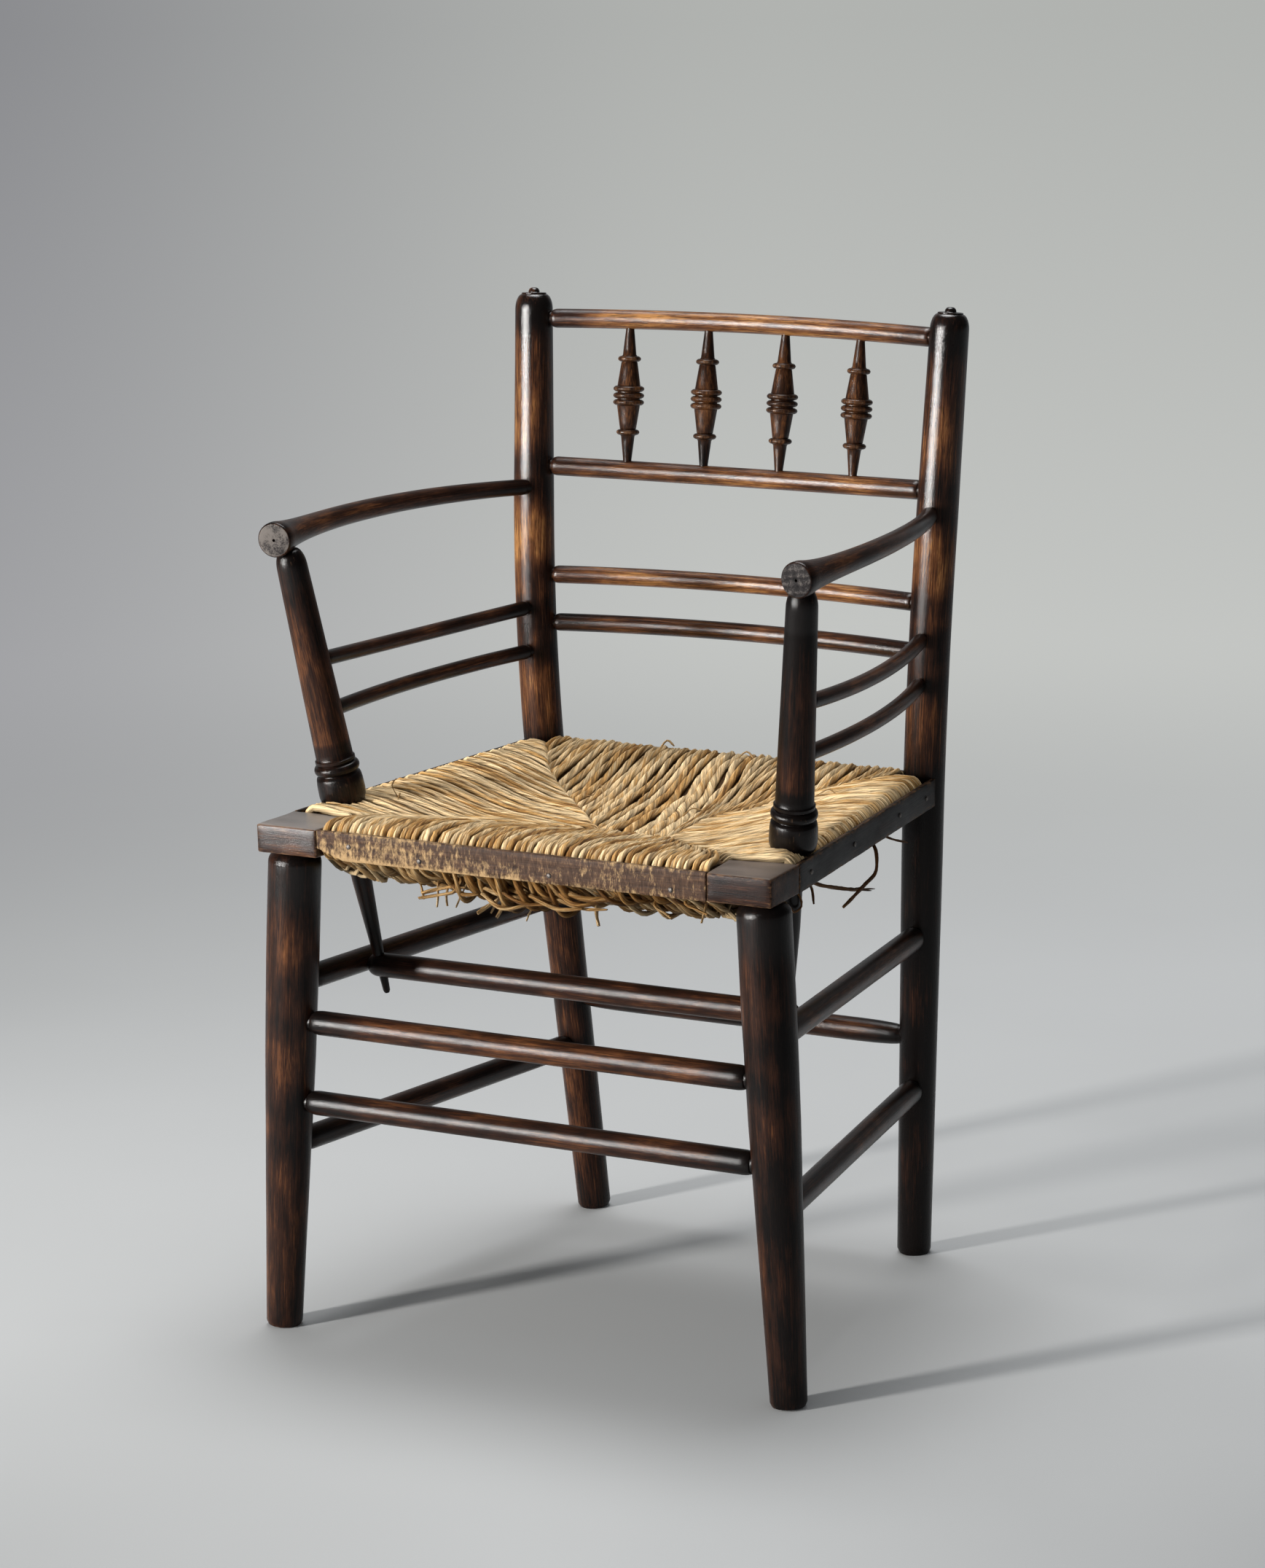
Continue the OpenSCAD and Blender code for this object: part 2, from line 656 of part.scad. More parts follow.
// Outline of an arm support, by distance below its top
cup_low = support_length(seat_height);
cup_top = cup_low - support_cup_height;
function cup_points(grow) =
    [for (p = concat(
        round_end(support_cup_d / 2, cup_top + support_cup_height * 0.6,
            support_seat_d / 2 + 4.5, cup_low),
        [[support_seat_d / 2 + 4, support_length(rail_z + rail_thickness) - side_gap],
         [support_seat_d / 2, support_length(rail_z + rail_thickness) - side_gap]]))
     [p[0] + grow, p[1] + grow]];
tail_z = frame_z - 42;
function tail_radius(z) =
    lookup(z, [[support_tip_z, support_tip_d / 2], [tail_z, support_seat_d / 2 - 0.75]]);
function tail_points(grow) =
    [[support_seat_d / 2 + grow, support_length(frame_z)],
     [support_seat_d / 2 - 0.75 + grow, support_length(tail_z)],
     [support_tip_d / 2 + grow, support_length(support_tip_z) - 2],
     [support_tip_d / 2 - 1 + grow, support_length(support_tip_z)]];

// The part of a support that passes through the seat and the cross bar
module support_passage(grow) {
    turned(support_top, support_tip, concat(cup_points(grow), tail_points(grow)), 90);
}

// One of the two turned supports, from the arm down through the seat
module arm_support(right) {
    tenon_r = support_tenon_d / 2;
    low_r = support_mid_d / 2;
    color(ebony)
        sided(right)
            difference() {
                turned(support_top, support_tip, concat(
                    [[tenon_r, -arm_socket_depth], [tenon_r, -1]],
                    reversed(round_end(support_top_d / 2, 15, tenon_r, -1)),
                    [[low_r, cup_top - 15], [low_r + 1, cup_top - 14],
                     [low_r + 1, cup_top - 11], [low_r, cup_top - 10]],
                    bead(low_r, support_bead_d / 2 - low_r, cup_top - 9.5, cup_top - 1),
                    [[low_r + 0.5, cup_top], [low_r + 2.5, cup_top + 1.5],
                     [low_r + 3, cup_top + 6]],
                    cup_points(0), tail_points(0)));
                for (i = [0, 1])
                    bowed_socket(side_rail_line(i), side_tenon_d, support_hold,
                        support_depth);
            }
}

module back_rail(i) {
    r = back_rails[i];
    color(brown)
        difference() {
            bowed_member(back_rail_line(i), r[1], back_tenon_d,
                [post_radius(r[0]), post_radius(r[0])], post_depth);
            if (i < 2)
                for (k = [1 : spindle_count])
                    spindle_sockets(k);
        }
}

// A spindle runs from the second rail up to the top rail
function spindle_share(k) = (k - (spindle_count + 1) / 2) * spindle_pitch;
function spindle_point(i, k) =
    let (m = back_rail_line(i)) arc_point(m, -spindle_share(k) * arc_sweep(m));

module spindle_sockets(k) {
    low = spindle_point(1, k);
    high = spindle_point(0, k);
    hold = high_rail_d / 2;
    straight_socket(low, high, spindle_end_d, hold, spindle_tenon);
    straight_socket(high, low, spindle_end_d, hold, spindle_tenon);
}

// One turned spindle: three beads, two collars and tapered ends
module back_spindle(k) {
    low = spindle_point(1, k);
    high = spindle_point(0, k);
    from = high_rail_d / 2 + shoulder_gap;
    span = norm(high - low) - 2 * from;
    end_r = spindle_end_d / 2;
    neck_r = spindle_neck_d / 2;
    body_r = spindle_body_d / 2;
    collar = spindle_collar_d / 2;
    bead_r = spindle_bead_d / 2;
    half = concat(
        [[neck_r, 0.19], [neck_r + 0.8, 0.2]],
        bead(neck_r + 0.8, collar - neck_r - 0.8, 0.2, 0.245, 4),
        [[neck_r + 1.2, 0.25], [body_r, 0.42]]);
    beads = [for (c = [0.452, 0.504, 0.556])
        each bead(body_r, bead_r - body_r, c - 0.023, c + 0.023)];
    color(brown)
        turned(high, low, concat(
            [[end_r, from - spindle_tenon], [end_r, from]],
            [for (p = half) [p[0], from + span * p[1]]],
            [for (p = beads) [p[0], from + span * p[1]]],
            [for (p = reversed(half)) [p[0], from + span * (1.008 - p[1])]],
            [[end_r, from + span], [end_r, from + span + spindle_tenon]]));
}

module side_rail(i, right) {
    color(brown)
        sided(right)
            bowed_member(side_rail_line(i), side_rail_d, side_tenon_d,
                [support_hold, entry_hold], support_depth);
}

module front_stretcher(i) {
    p = leg_axis(front_stretchers[i]);
    r = leg_radius(front_stretchers[i]);
    color(brown)
        straight_member(p, flip(p), stretcher_d, stretcher_tenon_d, stretcher_round,
            [r, r], [leg_depth, leg_depth]);
}

module side_stretcher(i, right) {
    s = side_stretchers[i];
    color(brown)
        sided(right)
            difference() {
                straight_member(leg_axis(s[0]), post_axis(s[1]), stretcher_d,
                    stretcher_tenon_d, stretcher_round,
                    [leg_radius(s[0]), post_radius(s[1])], [leg_depth, post_depth]);
                if (i == 0)
                    straight_socket(bar_end, flip(bar_end), bar_tenon_d,
                        stretcher_d / 2, bar_depth);
            }
}

module rear_stretcher() {
    p = post_axis(rear_stretcher_z);
    r = post_radius(rear_stretcher_z);
    color(brown)
        straight_member(p, flip(p), stretcher_d, stretcher_tenon_d, rear_taper,
            [r, r], [post_depth, post_depth]);
}

// Bar between the upper side stretchers, pierced by the supports' tapered ends
module cross_bar() {
    r = stretcher_d / 2;
    color(brown)
        difference() {
            straight_member(bar_end, flip(bar_end), stretcher_d, bar_tenon_d,
                stretcher_round, [r, r], [bar_depth, bar_depth]);
            for (right = [false, true])
                sided(right)
                    turned(support_top, support_tip, [
                        [tail_radius(bar_z + 18) + fit, support_length(bar_z + 18)],
                        [tail_radius(bar_z - 18) + fit, support_length(bar_z - 18)]]);
        }
}

module board(outline, z, height) {
    translate([0, 0, z])
        linear_extrude(height)
            polygon(outline);
}

// Corner block in plan, on the +X side
block_inner_front = seat_front_width / 2 - block_width;
block_inner_rear = seat_shoulder_width / 2 - block_width - block_flare;
block_outline = [[block_inner_front, front_y], [seat_front_width / 2, front_y],
                 [seat_shoulder_width / 2, block_rear_y], [block_inner_rear, block_rear_y]];
bar_front_y = front_y + strip_thickness + rush_side;

module front_bar(grow) {
    width = front_rail_width + 2 * grow;
    span = 2 * block_inner_rear + 20;
    translate([-span / 2, bar_front_y - grow, rail_z - grow])
        cube([span, width, rail_thickness + 2 * grow]);
}

// Front rail of the seat, with a square block at each end over the legs
module front_seat_rail() {
    color(ebony)
        difference() {
            union() {
                front_bar(0);
                for (right = [false, true])
                    sided(right) board(block_outline, frame_z, frame_height);
            }
            for (right = [false, true])
                sided(right) {
                    aim(leg_foot, leg_top, 90)
                        translate([0, 0, norm(leg_top - leg_foot) - 3])
                            cylinder(h = leg_tenon_depth + 3 + end_gap,
                                d = leg_tenon_d + 2 * fit);
                    straight_socket(side_seat_front, side_seat_rear, seat_tenon_d,
                        0, seat_side_depth);
                }
            nail_holes();
        }
}

module side_seat_body(grow) {
    outer = side_seat_front[0] + side_rail_front_width / 2;
    front = block_rear_y + side_gap;
    rear = post_axis(rail_mid_z)[1] - post_d / 2 - shoulder_gap - 1;
    rear_outer = side_face(rear) - strip_thickness - rush_side;
    board([[outer + grow, front - grow], [outer - side_rail_front_width - grow, front - grow],
           [rear_outer - side_rail_rear_width - grow, rear + grow],
           [rear_outer + grow, rear + grow]],
        rail_z - grow, rail_thickness + 2 * grow);
    straight_rail_tenons(side_seat_front, side_seat_rear, grow);
}

// Round tenons at both ends of a side seat rail
module straight_rail_tenons(a, b, grow) {
    aim(a, b)
        translate([0, 0, shoulder_gap - seat_side_depth])
            cylinder(h = norm(b - a) - post_d / 2 + 2 * (seat_side_depth - shoulder_gap),
                d = seat_tenon_d + 2 * grow);
}

module side_seat_rail(right) {
    color(brown)
        sided(right)
            difference() {
                side_seat_body(0);
                turned(support_top, support_tip, [
                    [support_seat_d / 2 + fit, support_length(rail_z + rail_thickness + 4)],
                    [support_seat_d / 2 + fit, support_length(rail_z - 4)]]);
                nail_holes();
            }
}

module rear_seat_body(grow) {
    half = rear_seat_end[0] - post_d / 2 - shoulder_gap;
    translate([-half - grow, back_face_y - strip_thickness - rush_side
               - rear_rail_width - grow, rail_z - grow])
        cube([2 * (half + grow), rear_rail_width + 2 * grow, rail_thickness + 2 * grow]);
    inset = post_d / 2 + shoulder_gap - seat_rear_depth;
    aim(rear_seat_end, flip(rear_seat_end))
        translate([0, 0, inset])
            cylinder(h = 2 * (rear_seat_end[0] - inset), d = seat_tenon_d + 2 * grow);
}

module rear_seat_rail() {
    color(brown)
        difference() {
            rear_seat_body(0);
            nail_holes();
        }
}

// Straight stand-in for a post at seat height, used to fit the pieces round it
module post_at_seat(grow) {
    low = post_axis(frame_z - 40);
    high = post_axis(seat_height + 20);
    aim(low, high, 180)
        cylinder(h = norm(high - low), d = post_d + 2 * grow);
}

module front_edge_strip() {
    half = block_inner_front - side_gap;
    color(worn)
        difference() {
            translate([-half, front_y, frame_z])
                cube([2 * half, strip_thickness, frame_height]);
            nail_holes();
        }
}

module side_edge_strip(right) {
    front = block_rear_y + side_gap;
    color(ebony)
        sided(right)
            difference() {
                board([[side_face(front), front], [side_face(front) - strip_thickness, front],
                       [side_face(strip_rear_y) - strip_thickness, strip_rear_y],
                       [side_face(strip_rear_y), strip_rear_y]], frame_z, frame_height);
                post_at_seat(side_gap + 0.3);
                nail_holes();
            }
}

module rear_edge_strip() {
    half = post_axis(rail_mid_z)[0];
    color(ebony)
        difference() {
            translate([-half, back_face_y - strip_thickness, frame_z])
                cube([2 * half, strip_thickness, frame_height]);
            post_at_seat(side_gap + 0.3);
            mirror([1, 0, 0]) post_at_seat(side_gap + 0.3);
            nail_holes();
        }
}

// The side strips' inward direction, on the +X side
side_inward = unit([block_rear_y - strip_rear_y,
                    (seat_rear_width - seat_shoulder_width) / 2, 0]);

// Points on the strips' outer faces where the nails stand, each with its direction
nail_places = concat(
    [for (i = [0 : len(front_nail_x) - 1])
        [[front_nail_x[i] * block_inner_front, front_y,
          rail_mid_z + front_nail_rise[i] * rail_thickness], [0, 1, 0]]],
    [for (share = rear_nail_x)
        [[share * post_axis(rail_mid_z)[0], back_face_y, rail_mid_z], [0, -1, 0]]],
    [for (share = side_nail_back)
        let (y = mix(block_rear_y, strip_rear_y, share), p = [side_face(y), y, rail_mid_z])
        each [[p, side_inward], [flip(p), flip(side_inward)]]]);

// Small round-headed nails that hold the edge strips
module strip_nails() {
    head = nail_head_d / 2;
    color(iron)
        for (n = nail_places)
            aim(n[0], n[0] + n[1])
                rotate_extrude($fn = 24)
                    polygon(concat([[0, -1 - nail_gap]],
                        [for (i = [0 : 3])
                            [mix(0.4, head, sin(30 * i)), -cos(30 * i) - nail_gap]],
                        [[nail_d / 2, -nail_gap], [nail_d / 2, nail_length],
                         [0, nail_length]]));
}

module nail_holes() {
    for (n = nail_places)
        aim(n[0], n[0] + n[1])
            translate([0, 0, -2])
                cylinder(h = nail_length + nail_gap + 2, d = nail_d + 2 * nail_gap, $fn = 24);
}

// Heights of the rush at a distance d inside its outer edge
function rush_top(d) =
    seat_height - 1 + (rush_crown + 1) * sin(90 * clamp01(d / (rush_border / 3)))
    - rush_dip * smooth((d - rush_border / 2) / (2.6 * rush_border));
function rush_low(d) =
    frame_z + 1 - (rush_hem + 1) * sin(90 * clamp01(d / (rush_border / 3)))
    - (rush_belly - rush_hem) * smooth((d - rush_side) / (1.2 * rush_border));

// Grid point of the rush in plan, spaced closely near the edges
rush_front_y = front_y + strip_thickness + rush_gap;
rush_rear_y = back_face_y - strip_thickness - rush_gap;
function eased(i, n) = (1 - cos(180 * i / n)) / 2;
function rush_half(y) = side_face(y) - strip_thickness - rush_gap;
function rush_grid(top) =
    [for (j = [0 : rush_rows], i = [0 : rush_columns])
        let (y = mix(rush_front_y, rush_rear_y, eased(j, rush_rows)),
             x = mix(-rush_half(y), rush_half(y), eased(i, rush_columns)),
             d = min(y - rush_front_y, rush_rear_y - y, rush_half(y) - abs(x)))
        [x, y, top ? rush_top(d) : rush_low(d)]];

module rush_body() {
    row = rush_columns + 1;
    lower = row * (rush_rows + 1);
    rim = concat(
        [for (i = [0 : rush_columns - 1]) i],
        [for (j = [0 : rush_rows - 1]) j * row + rush_columns],
        [for (i = [rush_columns : -1 : 1]) rush_rows * row + i],
        [for (j = [rush_rows : -1 : 1]) j * row]);
    polyhedron(
        points = concat(rush_grid(true), rush_grid(false)),
        faces = concat(
            [for (j = [0 : rush_rows - 1], i = [0 : rush_columns - 1])
                let (a = j * row + i, b = a + row)
                each [[a, b, b + 1], [a, b + 1, a + 1],
                      [lower + a, lower + b + 1, lower + b],
                      [lower + a, lower + a + 1, lower + b + 1]]],
            [for (k = [0 : len(rim) - 1])
                let (a = rim[k], b = rim[(k + 1) % len(rim)])
                each [[a, b, lower + b], [a, lower + b, lower + a]]]));
}

// Woven rush seat: it wraps the four rails and fills the frame
module rush_seat() {
    color(straw)
        difference() {
            rush_body();
            front_bar(rush_gap);
            rear_seat_body(rush_gap);
            for (right = [false, true])
                sided(right) {
                    board([for (p = block_outline) p + [p[0] < seat_shoulder_width / 2 - 20
                           ? -rush_gap : rush_gap * 9, p[1] > front_y + 9
                           ? rush_gap : -rush_gap * 9]],
                        frame_z - rush_border, frame_height + 2 * rush_border);
                    side_seat_body(rush_gap);
                    support_passage(rush_gap + 0.3);
                    post_at_seat(rush_gap + 0.5);
                }
            nail_holes();
        }
}

rear_post(false);  // rear_post_left
rear_post(true);  // rear_post_right
front_leg(false);  // front_leg_left
front_leg(true);  // front_leg_right
arm(false);  // arm_left
arm(true);  // arm_right
arm_support(false);  // arm_support_left
arm_support(true);  // arm_support_right
side_rail(0, false);  // side_rail_upper_left
side_rail(0, true);  // side_rail_upper_right
side_rail(1, false);  // side_rail_lower_left
side_rail(1, true);  // side_rail_lower_right
side_stretcher(0, false);  // side_stretcher_upper_left
side_stretcher(0, true);  // side_stretcher_upper_right
side_stretcher(1, false);  // side_stretcher_lower_left
side_stretcher(1, true);  // side_stretcher_lower_right
side_seat_rail(false);  // side_seat_rail_left
side_seat_rail(true);  // side_seat_rail_right
side_edge_strip(false);  // side_edge_strip_left
side_edge_strip(true);  // side_edge_strip_right
for (i = [1 : 4])
    back_rail(i - 1);
for (k = [1 : spindle_count])
    back_spindle(k);
front_stretcher(0);  // front_stretcher_upper
front_stretcher(1);  // front_stretcher_lower
rear_stretcher();
cross_bar();
front_seat_rail();
rear_seat_rail();
front_edge_strip();
rear_edge_strip();
strip_nails();
rush_seat();
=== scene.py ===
import random
from math import acos, asin, cos, exp, pi, radians, sin, tan

import bpy
import numpy as np
from numpy.linalg import norm
from mathutils import Matrix, Vector, noise


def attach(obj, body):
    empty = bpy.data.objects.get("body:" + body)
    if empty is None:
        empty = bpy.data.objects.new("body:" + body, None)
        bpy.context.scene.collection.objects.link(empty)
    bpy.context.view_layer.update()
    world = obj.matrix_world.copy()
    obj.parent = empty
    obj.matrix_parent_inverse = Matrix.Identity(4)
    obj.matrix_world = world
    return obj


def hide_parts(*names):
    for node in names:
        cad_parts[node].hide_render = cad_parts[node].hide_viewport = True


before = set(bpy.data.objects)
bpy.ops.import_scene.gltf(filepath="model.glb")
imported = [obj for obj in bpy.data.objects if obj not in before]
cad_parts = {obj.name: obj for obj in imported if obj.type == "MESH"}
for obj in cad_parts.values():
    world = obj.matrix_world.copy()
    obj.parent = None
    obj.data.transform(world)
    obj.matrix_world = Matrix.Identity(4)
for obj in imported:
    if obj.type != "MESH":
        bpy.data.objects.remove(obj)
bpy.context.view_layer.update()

# Lengths below are millimetres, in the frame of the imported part; meshes are made in metres.
MM = 0.001
rng = random.Random(7)
uniform = rng.uniform


# measures of the chair

DEPTH, HEIGHT, SEAT_Z, FRAME_H = 453.0, 850.0, 446.0, 24.5
FRONT_Y = -DEPTH / 2
FRAME_Z = SEAT_Z - FRAME_H
RAIL_MID_Z = FRAME_Z + FRAME_H / 2
STRIP, RUSH_SIDE = 5.0, 6.0
BLOCK_W, BLOCK_FLARE, BLOCK_D = 58.0, 3.0, 56.0
BLOCK_REAR_Y = FRONT_Y + BLOCK_D
FRONT_HALF, SHOULDER_HALF, REAR_HALF = 240.0, 238.0, 203.5
# From a member's shoulder to what holds it
GAP = 0.6


def vec(*p):
    return np.array(p, float)


def unit(v):
    return v / norm(v)


def mix(a, b, t):
    return a + (b - a) * t


def smooth(t):
    t = np.clip(t, 0.0, 1.0)
    return t * t * (3 - 2 * t)


def flip(p):
    return np.array([-p[0], p[1], p[2]])


def ripple(*p):
    return noise.noise(Vector(p))


def lookup(x, places, values):
    return float(np.interp(x, places, values))


def at_height(a, b, z):
    return mix(a, b, (z - a[2]) / (b[2] - a[2]))


# Axes of the front legs, rear posts and arm supports, on the +X side
LEG_FOOT = vec(241.5, FRONT_Y + 22.5, 0)
LEG_TOP = vec(219.5, FRONT_Y + 27.5, FRAME_Z)
LEG_KNEE, LEG_WAIST = FRAME_Z * 0.57, FRAME_Z * 0.78

POST_FOOT = vec(162.5, DEPTH / 2 - 15, 0)
POST_CORNER = vec(193, POST_FOOT[1] - 41.5, 520)
POST_TIP = vec(203, POST_CORNER[1] + 30.5, HEIGHT)
BEND_REACH = 146.5
BEND_A = POST_CORNER - unit(POST_CORNER - POST_FOOT) * BEND_REACH
BEND_B = POST_CORNER + unit(POST_TIP - POST_CORNER) * BEND_REACH

SUPPORT_TOP = vec(239, FRONT_Y + 62, 667.5)
SUPPORT_TIP = vec(191, FRONT_Y + 123.5, 276)


def leg_axis(z):
    return at_height(LEG_FOOT, LEG_TOP, z)


def leg_radius(z):
    return lookup(z, [0, LEG_KNEE, LEG_WAIST], [15.5, 21.5, 22.5])


def post_axis(z):
    if z < BEND_A[2]:
        return at_height(POST_FOOT, POST_CORNER, z)
    if z > BEND_B[2]:
        return at_height(POST_CORNER, POST_TIP, z)
    t = (z - BEND_A[2]) / (BEND_B[2] - BEND_A[2])
    return mix(mix(BEND_A, POST_CORNER, t), mix(POST_CORNER, BEND_B, t), t)


def post_radius(z):
    return lookup(z, [0, BEND_A[2], BEND_B[2], HEIGHT], [15, 18, 18, 16.75])


def support_axis(z):
    return at_height(SUPPORT_TIP, SUPPORT_TOP, z)


def support_length(z):
    return norm(SUPPORT_TOP - support_axis(z))


STRIP_REAR_Y = post_axis(RAIL_MID_Z)[1] - 9
BACK_FACE_Y = post_axis(RAIL_MID_Z)[1] + 10


def side_face(y):
    return mix(SHOULDER_HALF, REAR_HALF, (y - BLOCK_REAR_Y) / (STRIP_REAR_Y - BLOCK_REAR_Y))


# paths

class Straight:
    """Line from a towards b; s is the distance from a."""

    def __init__(self, a, b):
        self.a, self.t = a, unit(b - a)
        side = vec(1, 0, 0) if abs(self.t[0]) < 0.8 else vec(0, 1, 0)
        self.u = unit(side - self.t * (side @ self.t))
        self.length = norm(b - a)

    def at(self, s):
        return self.a + self.t * s, self.t, self.u


class Arc:
    """Arc from a to b whose middle stands off by bow; s is the length from a."""

    def __init__(self, a, b, bow):
        self.along = unit(b - a)
        self.out = unit(bow - self.along * (bow @ self.along))
        half, rise = norm(b - a) / 2, norm(bow)
        self.radius = (half ** 2 + rise ** 2) / (2 * rise)
        self.sweep = asin(half / self.radius)
        self.centre = (a + b) / 2 + self.out * (rise - self.radius)
        self.length = 2 * self.sweep * self.radius

    def at(self, s):
        angle = s / self.radius - self.sweep
        c, n = cos(angle), sin(angle)
        radial = c * self.out + n * self.along
        return self.centre + self.radius * radial, c * self.along - n * self.out, radial


class Bent:
    """A straight run, a bend and another straight run, as the rear posts have."""

    def __init__(self):
        self.low, self.high = Straight(POST_FOOT, BEND_A), Straight(BEND_B, POST_TIP)
        angle = acos(min(1.0, self.low.t @ self.high.t))
        sagitta = BEND_REACH * tan(angle / 4) * cos(angle / 2)
        self.arc = Arc(BEND_A, BEND_B, unit(POST_CORNER - (BEND_A + BEND_B) / 2) * sagitta)
        for run in (self.low, self.high):
            run.u = unit(self.arc.out - run.t * (self.arc.out @ run.t))
        self.length = self.low.length + self.arc.length + self.high.length

    def at(self, s):
        for run in (self.low, self.arc):
            if s < run.length:
                return run.at(s)
            s -= run.length
        return self.high.at(s)


class Mirrored:
    """The same path on the other side of the chair."""

    def __init__(self, path):
        self.path, self.length = path, path.length

    def at(self, s):
        return tuple(flip(v) for v in self.path.at(s))


# mesh making

def finish_mesh(name, verts, faces, material, node, fields, angle=38, face_slots=None):
    """Makes the object, stores its fields as attributes, and hands it to the frame."""
    mesh = bpy.data.meshes.new(name)
    mesh.from_pydata([tuple(v) for v in np.asarray(verts) * MM], [], faces)
    for key, values in fields.items():
        values = np.asarray(values, np.float32)
        kind, part = ("FLOAT_VECTOR", "vector") if values.ndim == 2 else ("FLOAT", "value")
        mesh.attributes.new(key, kind, "POINT").data.foreach_set(part, values.ravel())
    mesh.polygons.foreach_set("use_smooth", [True] * len(mesh.polygons))
    mesh.set_sharp_from_angle(angle=radians(angle))
    for m in material if isinstance(material, list) else [material]:
        mesh.materials.append(m)
    if face_slots:
        mesh.polygons.foreach_set("material_index", face_slots)
    mesh.update()
    obj = bpy.data.objects.new(name, mesh)
    bpy.context.scene.collection.objects.link(obj)
    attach(obj, "root")
    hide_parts(node)


def ring_faces(rings, around, first=0):
    """Faces between rings of points that follow each other."""
    return [(low + j, low + (j + 1) % around, low + around + (j + 1) % around, low + around + j)
            for low in range(first, first + (rings - 1) * around, around)
            for j in range(around)]


def rod(name, path, profile, node, material, around, step, uneven, warmth, cap=None,
        rub=0.0, matt=None):
    """Turned or bent member: profile is a list of (length along the path, radius)."""
    rings = []
    for (s0, r0), (s1, r1) in zip(profile, profile[1:]):
        pieces = max(1, int(abs(s1 - s0) / step))
        rings += [(mix(s0, s1, i / pieces), mix(r0, r1, i / pieces)) for i in range(pieces)]
    s_all, r_all = np.array(rings + [profile[-1]]).T
    broad = [np.mean(r_all[np.abs(s_all - s) < 9]) for s in s_all]
    shift = [uniform(-50, 50) for _ in range(3)]
    oval, turn = uniform(0.002, 0.006), uniform(0, pi)
    verts, grain, wear, warm, dim = [], [], [], [], []

    def put(q, across, along, rubbed, heat, dull):
        verts.append(vec(q[0], q[1], max(q[2], 0.0)))
        grain.append((across[0] + shift[0], across[1] + shift[1], along + shift[2]))
        wear.append(rubbed)
        warm.append(heat)
        dim.append(dull)

    for s, r, b in zip(s_all, r_all, broad):
        p, t, u = path.at(s)
        v = np.cross(t, u)
        for j in range(around):
            a = 2 * pi * j / around
            c, n = cos(a), sin(a)
            bump = ripple(s * 0.022 + shift[0], c * 0.7, n * 0.7 + shift[1])
            rr = r * (1 + oval * cos(2 * (a - turn))) + bump * uneven * min(1, r / 8)
            put(p + (u * c + v * n) * rr, (r * c, r * n), s,
                rub * min(1.0, max(0.0, (r - b) / 2.2)), warmth(s, c, n), matt(s) if matt else 0)
    faces = ring_faces(len(s_all), around)
    slots = [int(bool(cap and cap(a, b))) for a, b in zip(s_all, s_all[1:]) for _ in range(around)]
    for end, order in ((0, -1), (len(s_all) - 1, 1)):
        centre, first, s = len(verts), end * around, s_all[end]
        put(path.at(s)[0], (0, 0), s, 0.0, warm[first], dim[first])
        for j in range(around):
            a, b = first + j, first + (j + 1) % around
            faces.append((centre, a, b) if order > 0 else (centre, b, a))
        slots += [int(bool(cap and cap(s, s)))] * around
    finish_mesh(name, verts, faces, material, node, {
        "grain": np.array(grain) * MM, "wear": wear, "warm": warm, "matt": dim}, 38, slots)


BOARD_RUB = 0.7


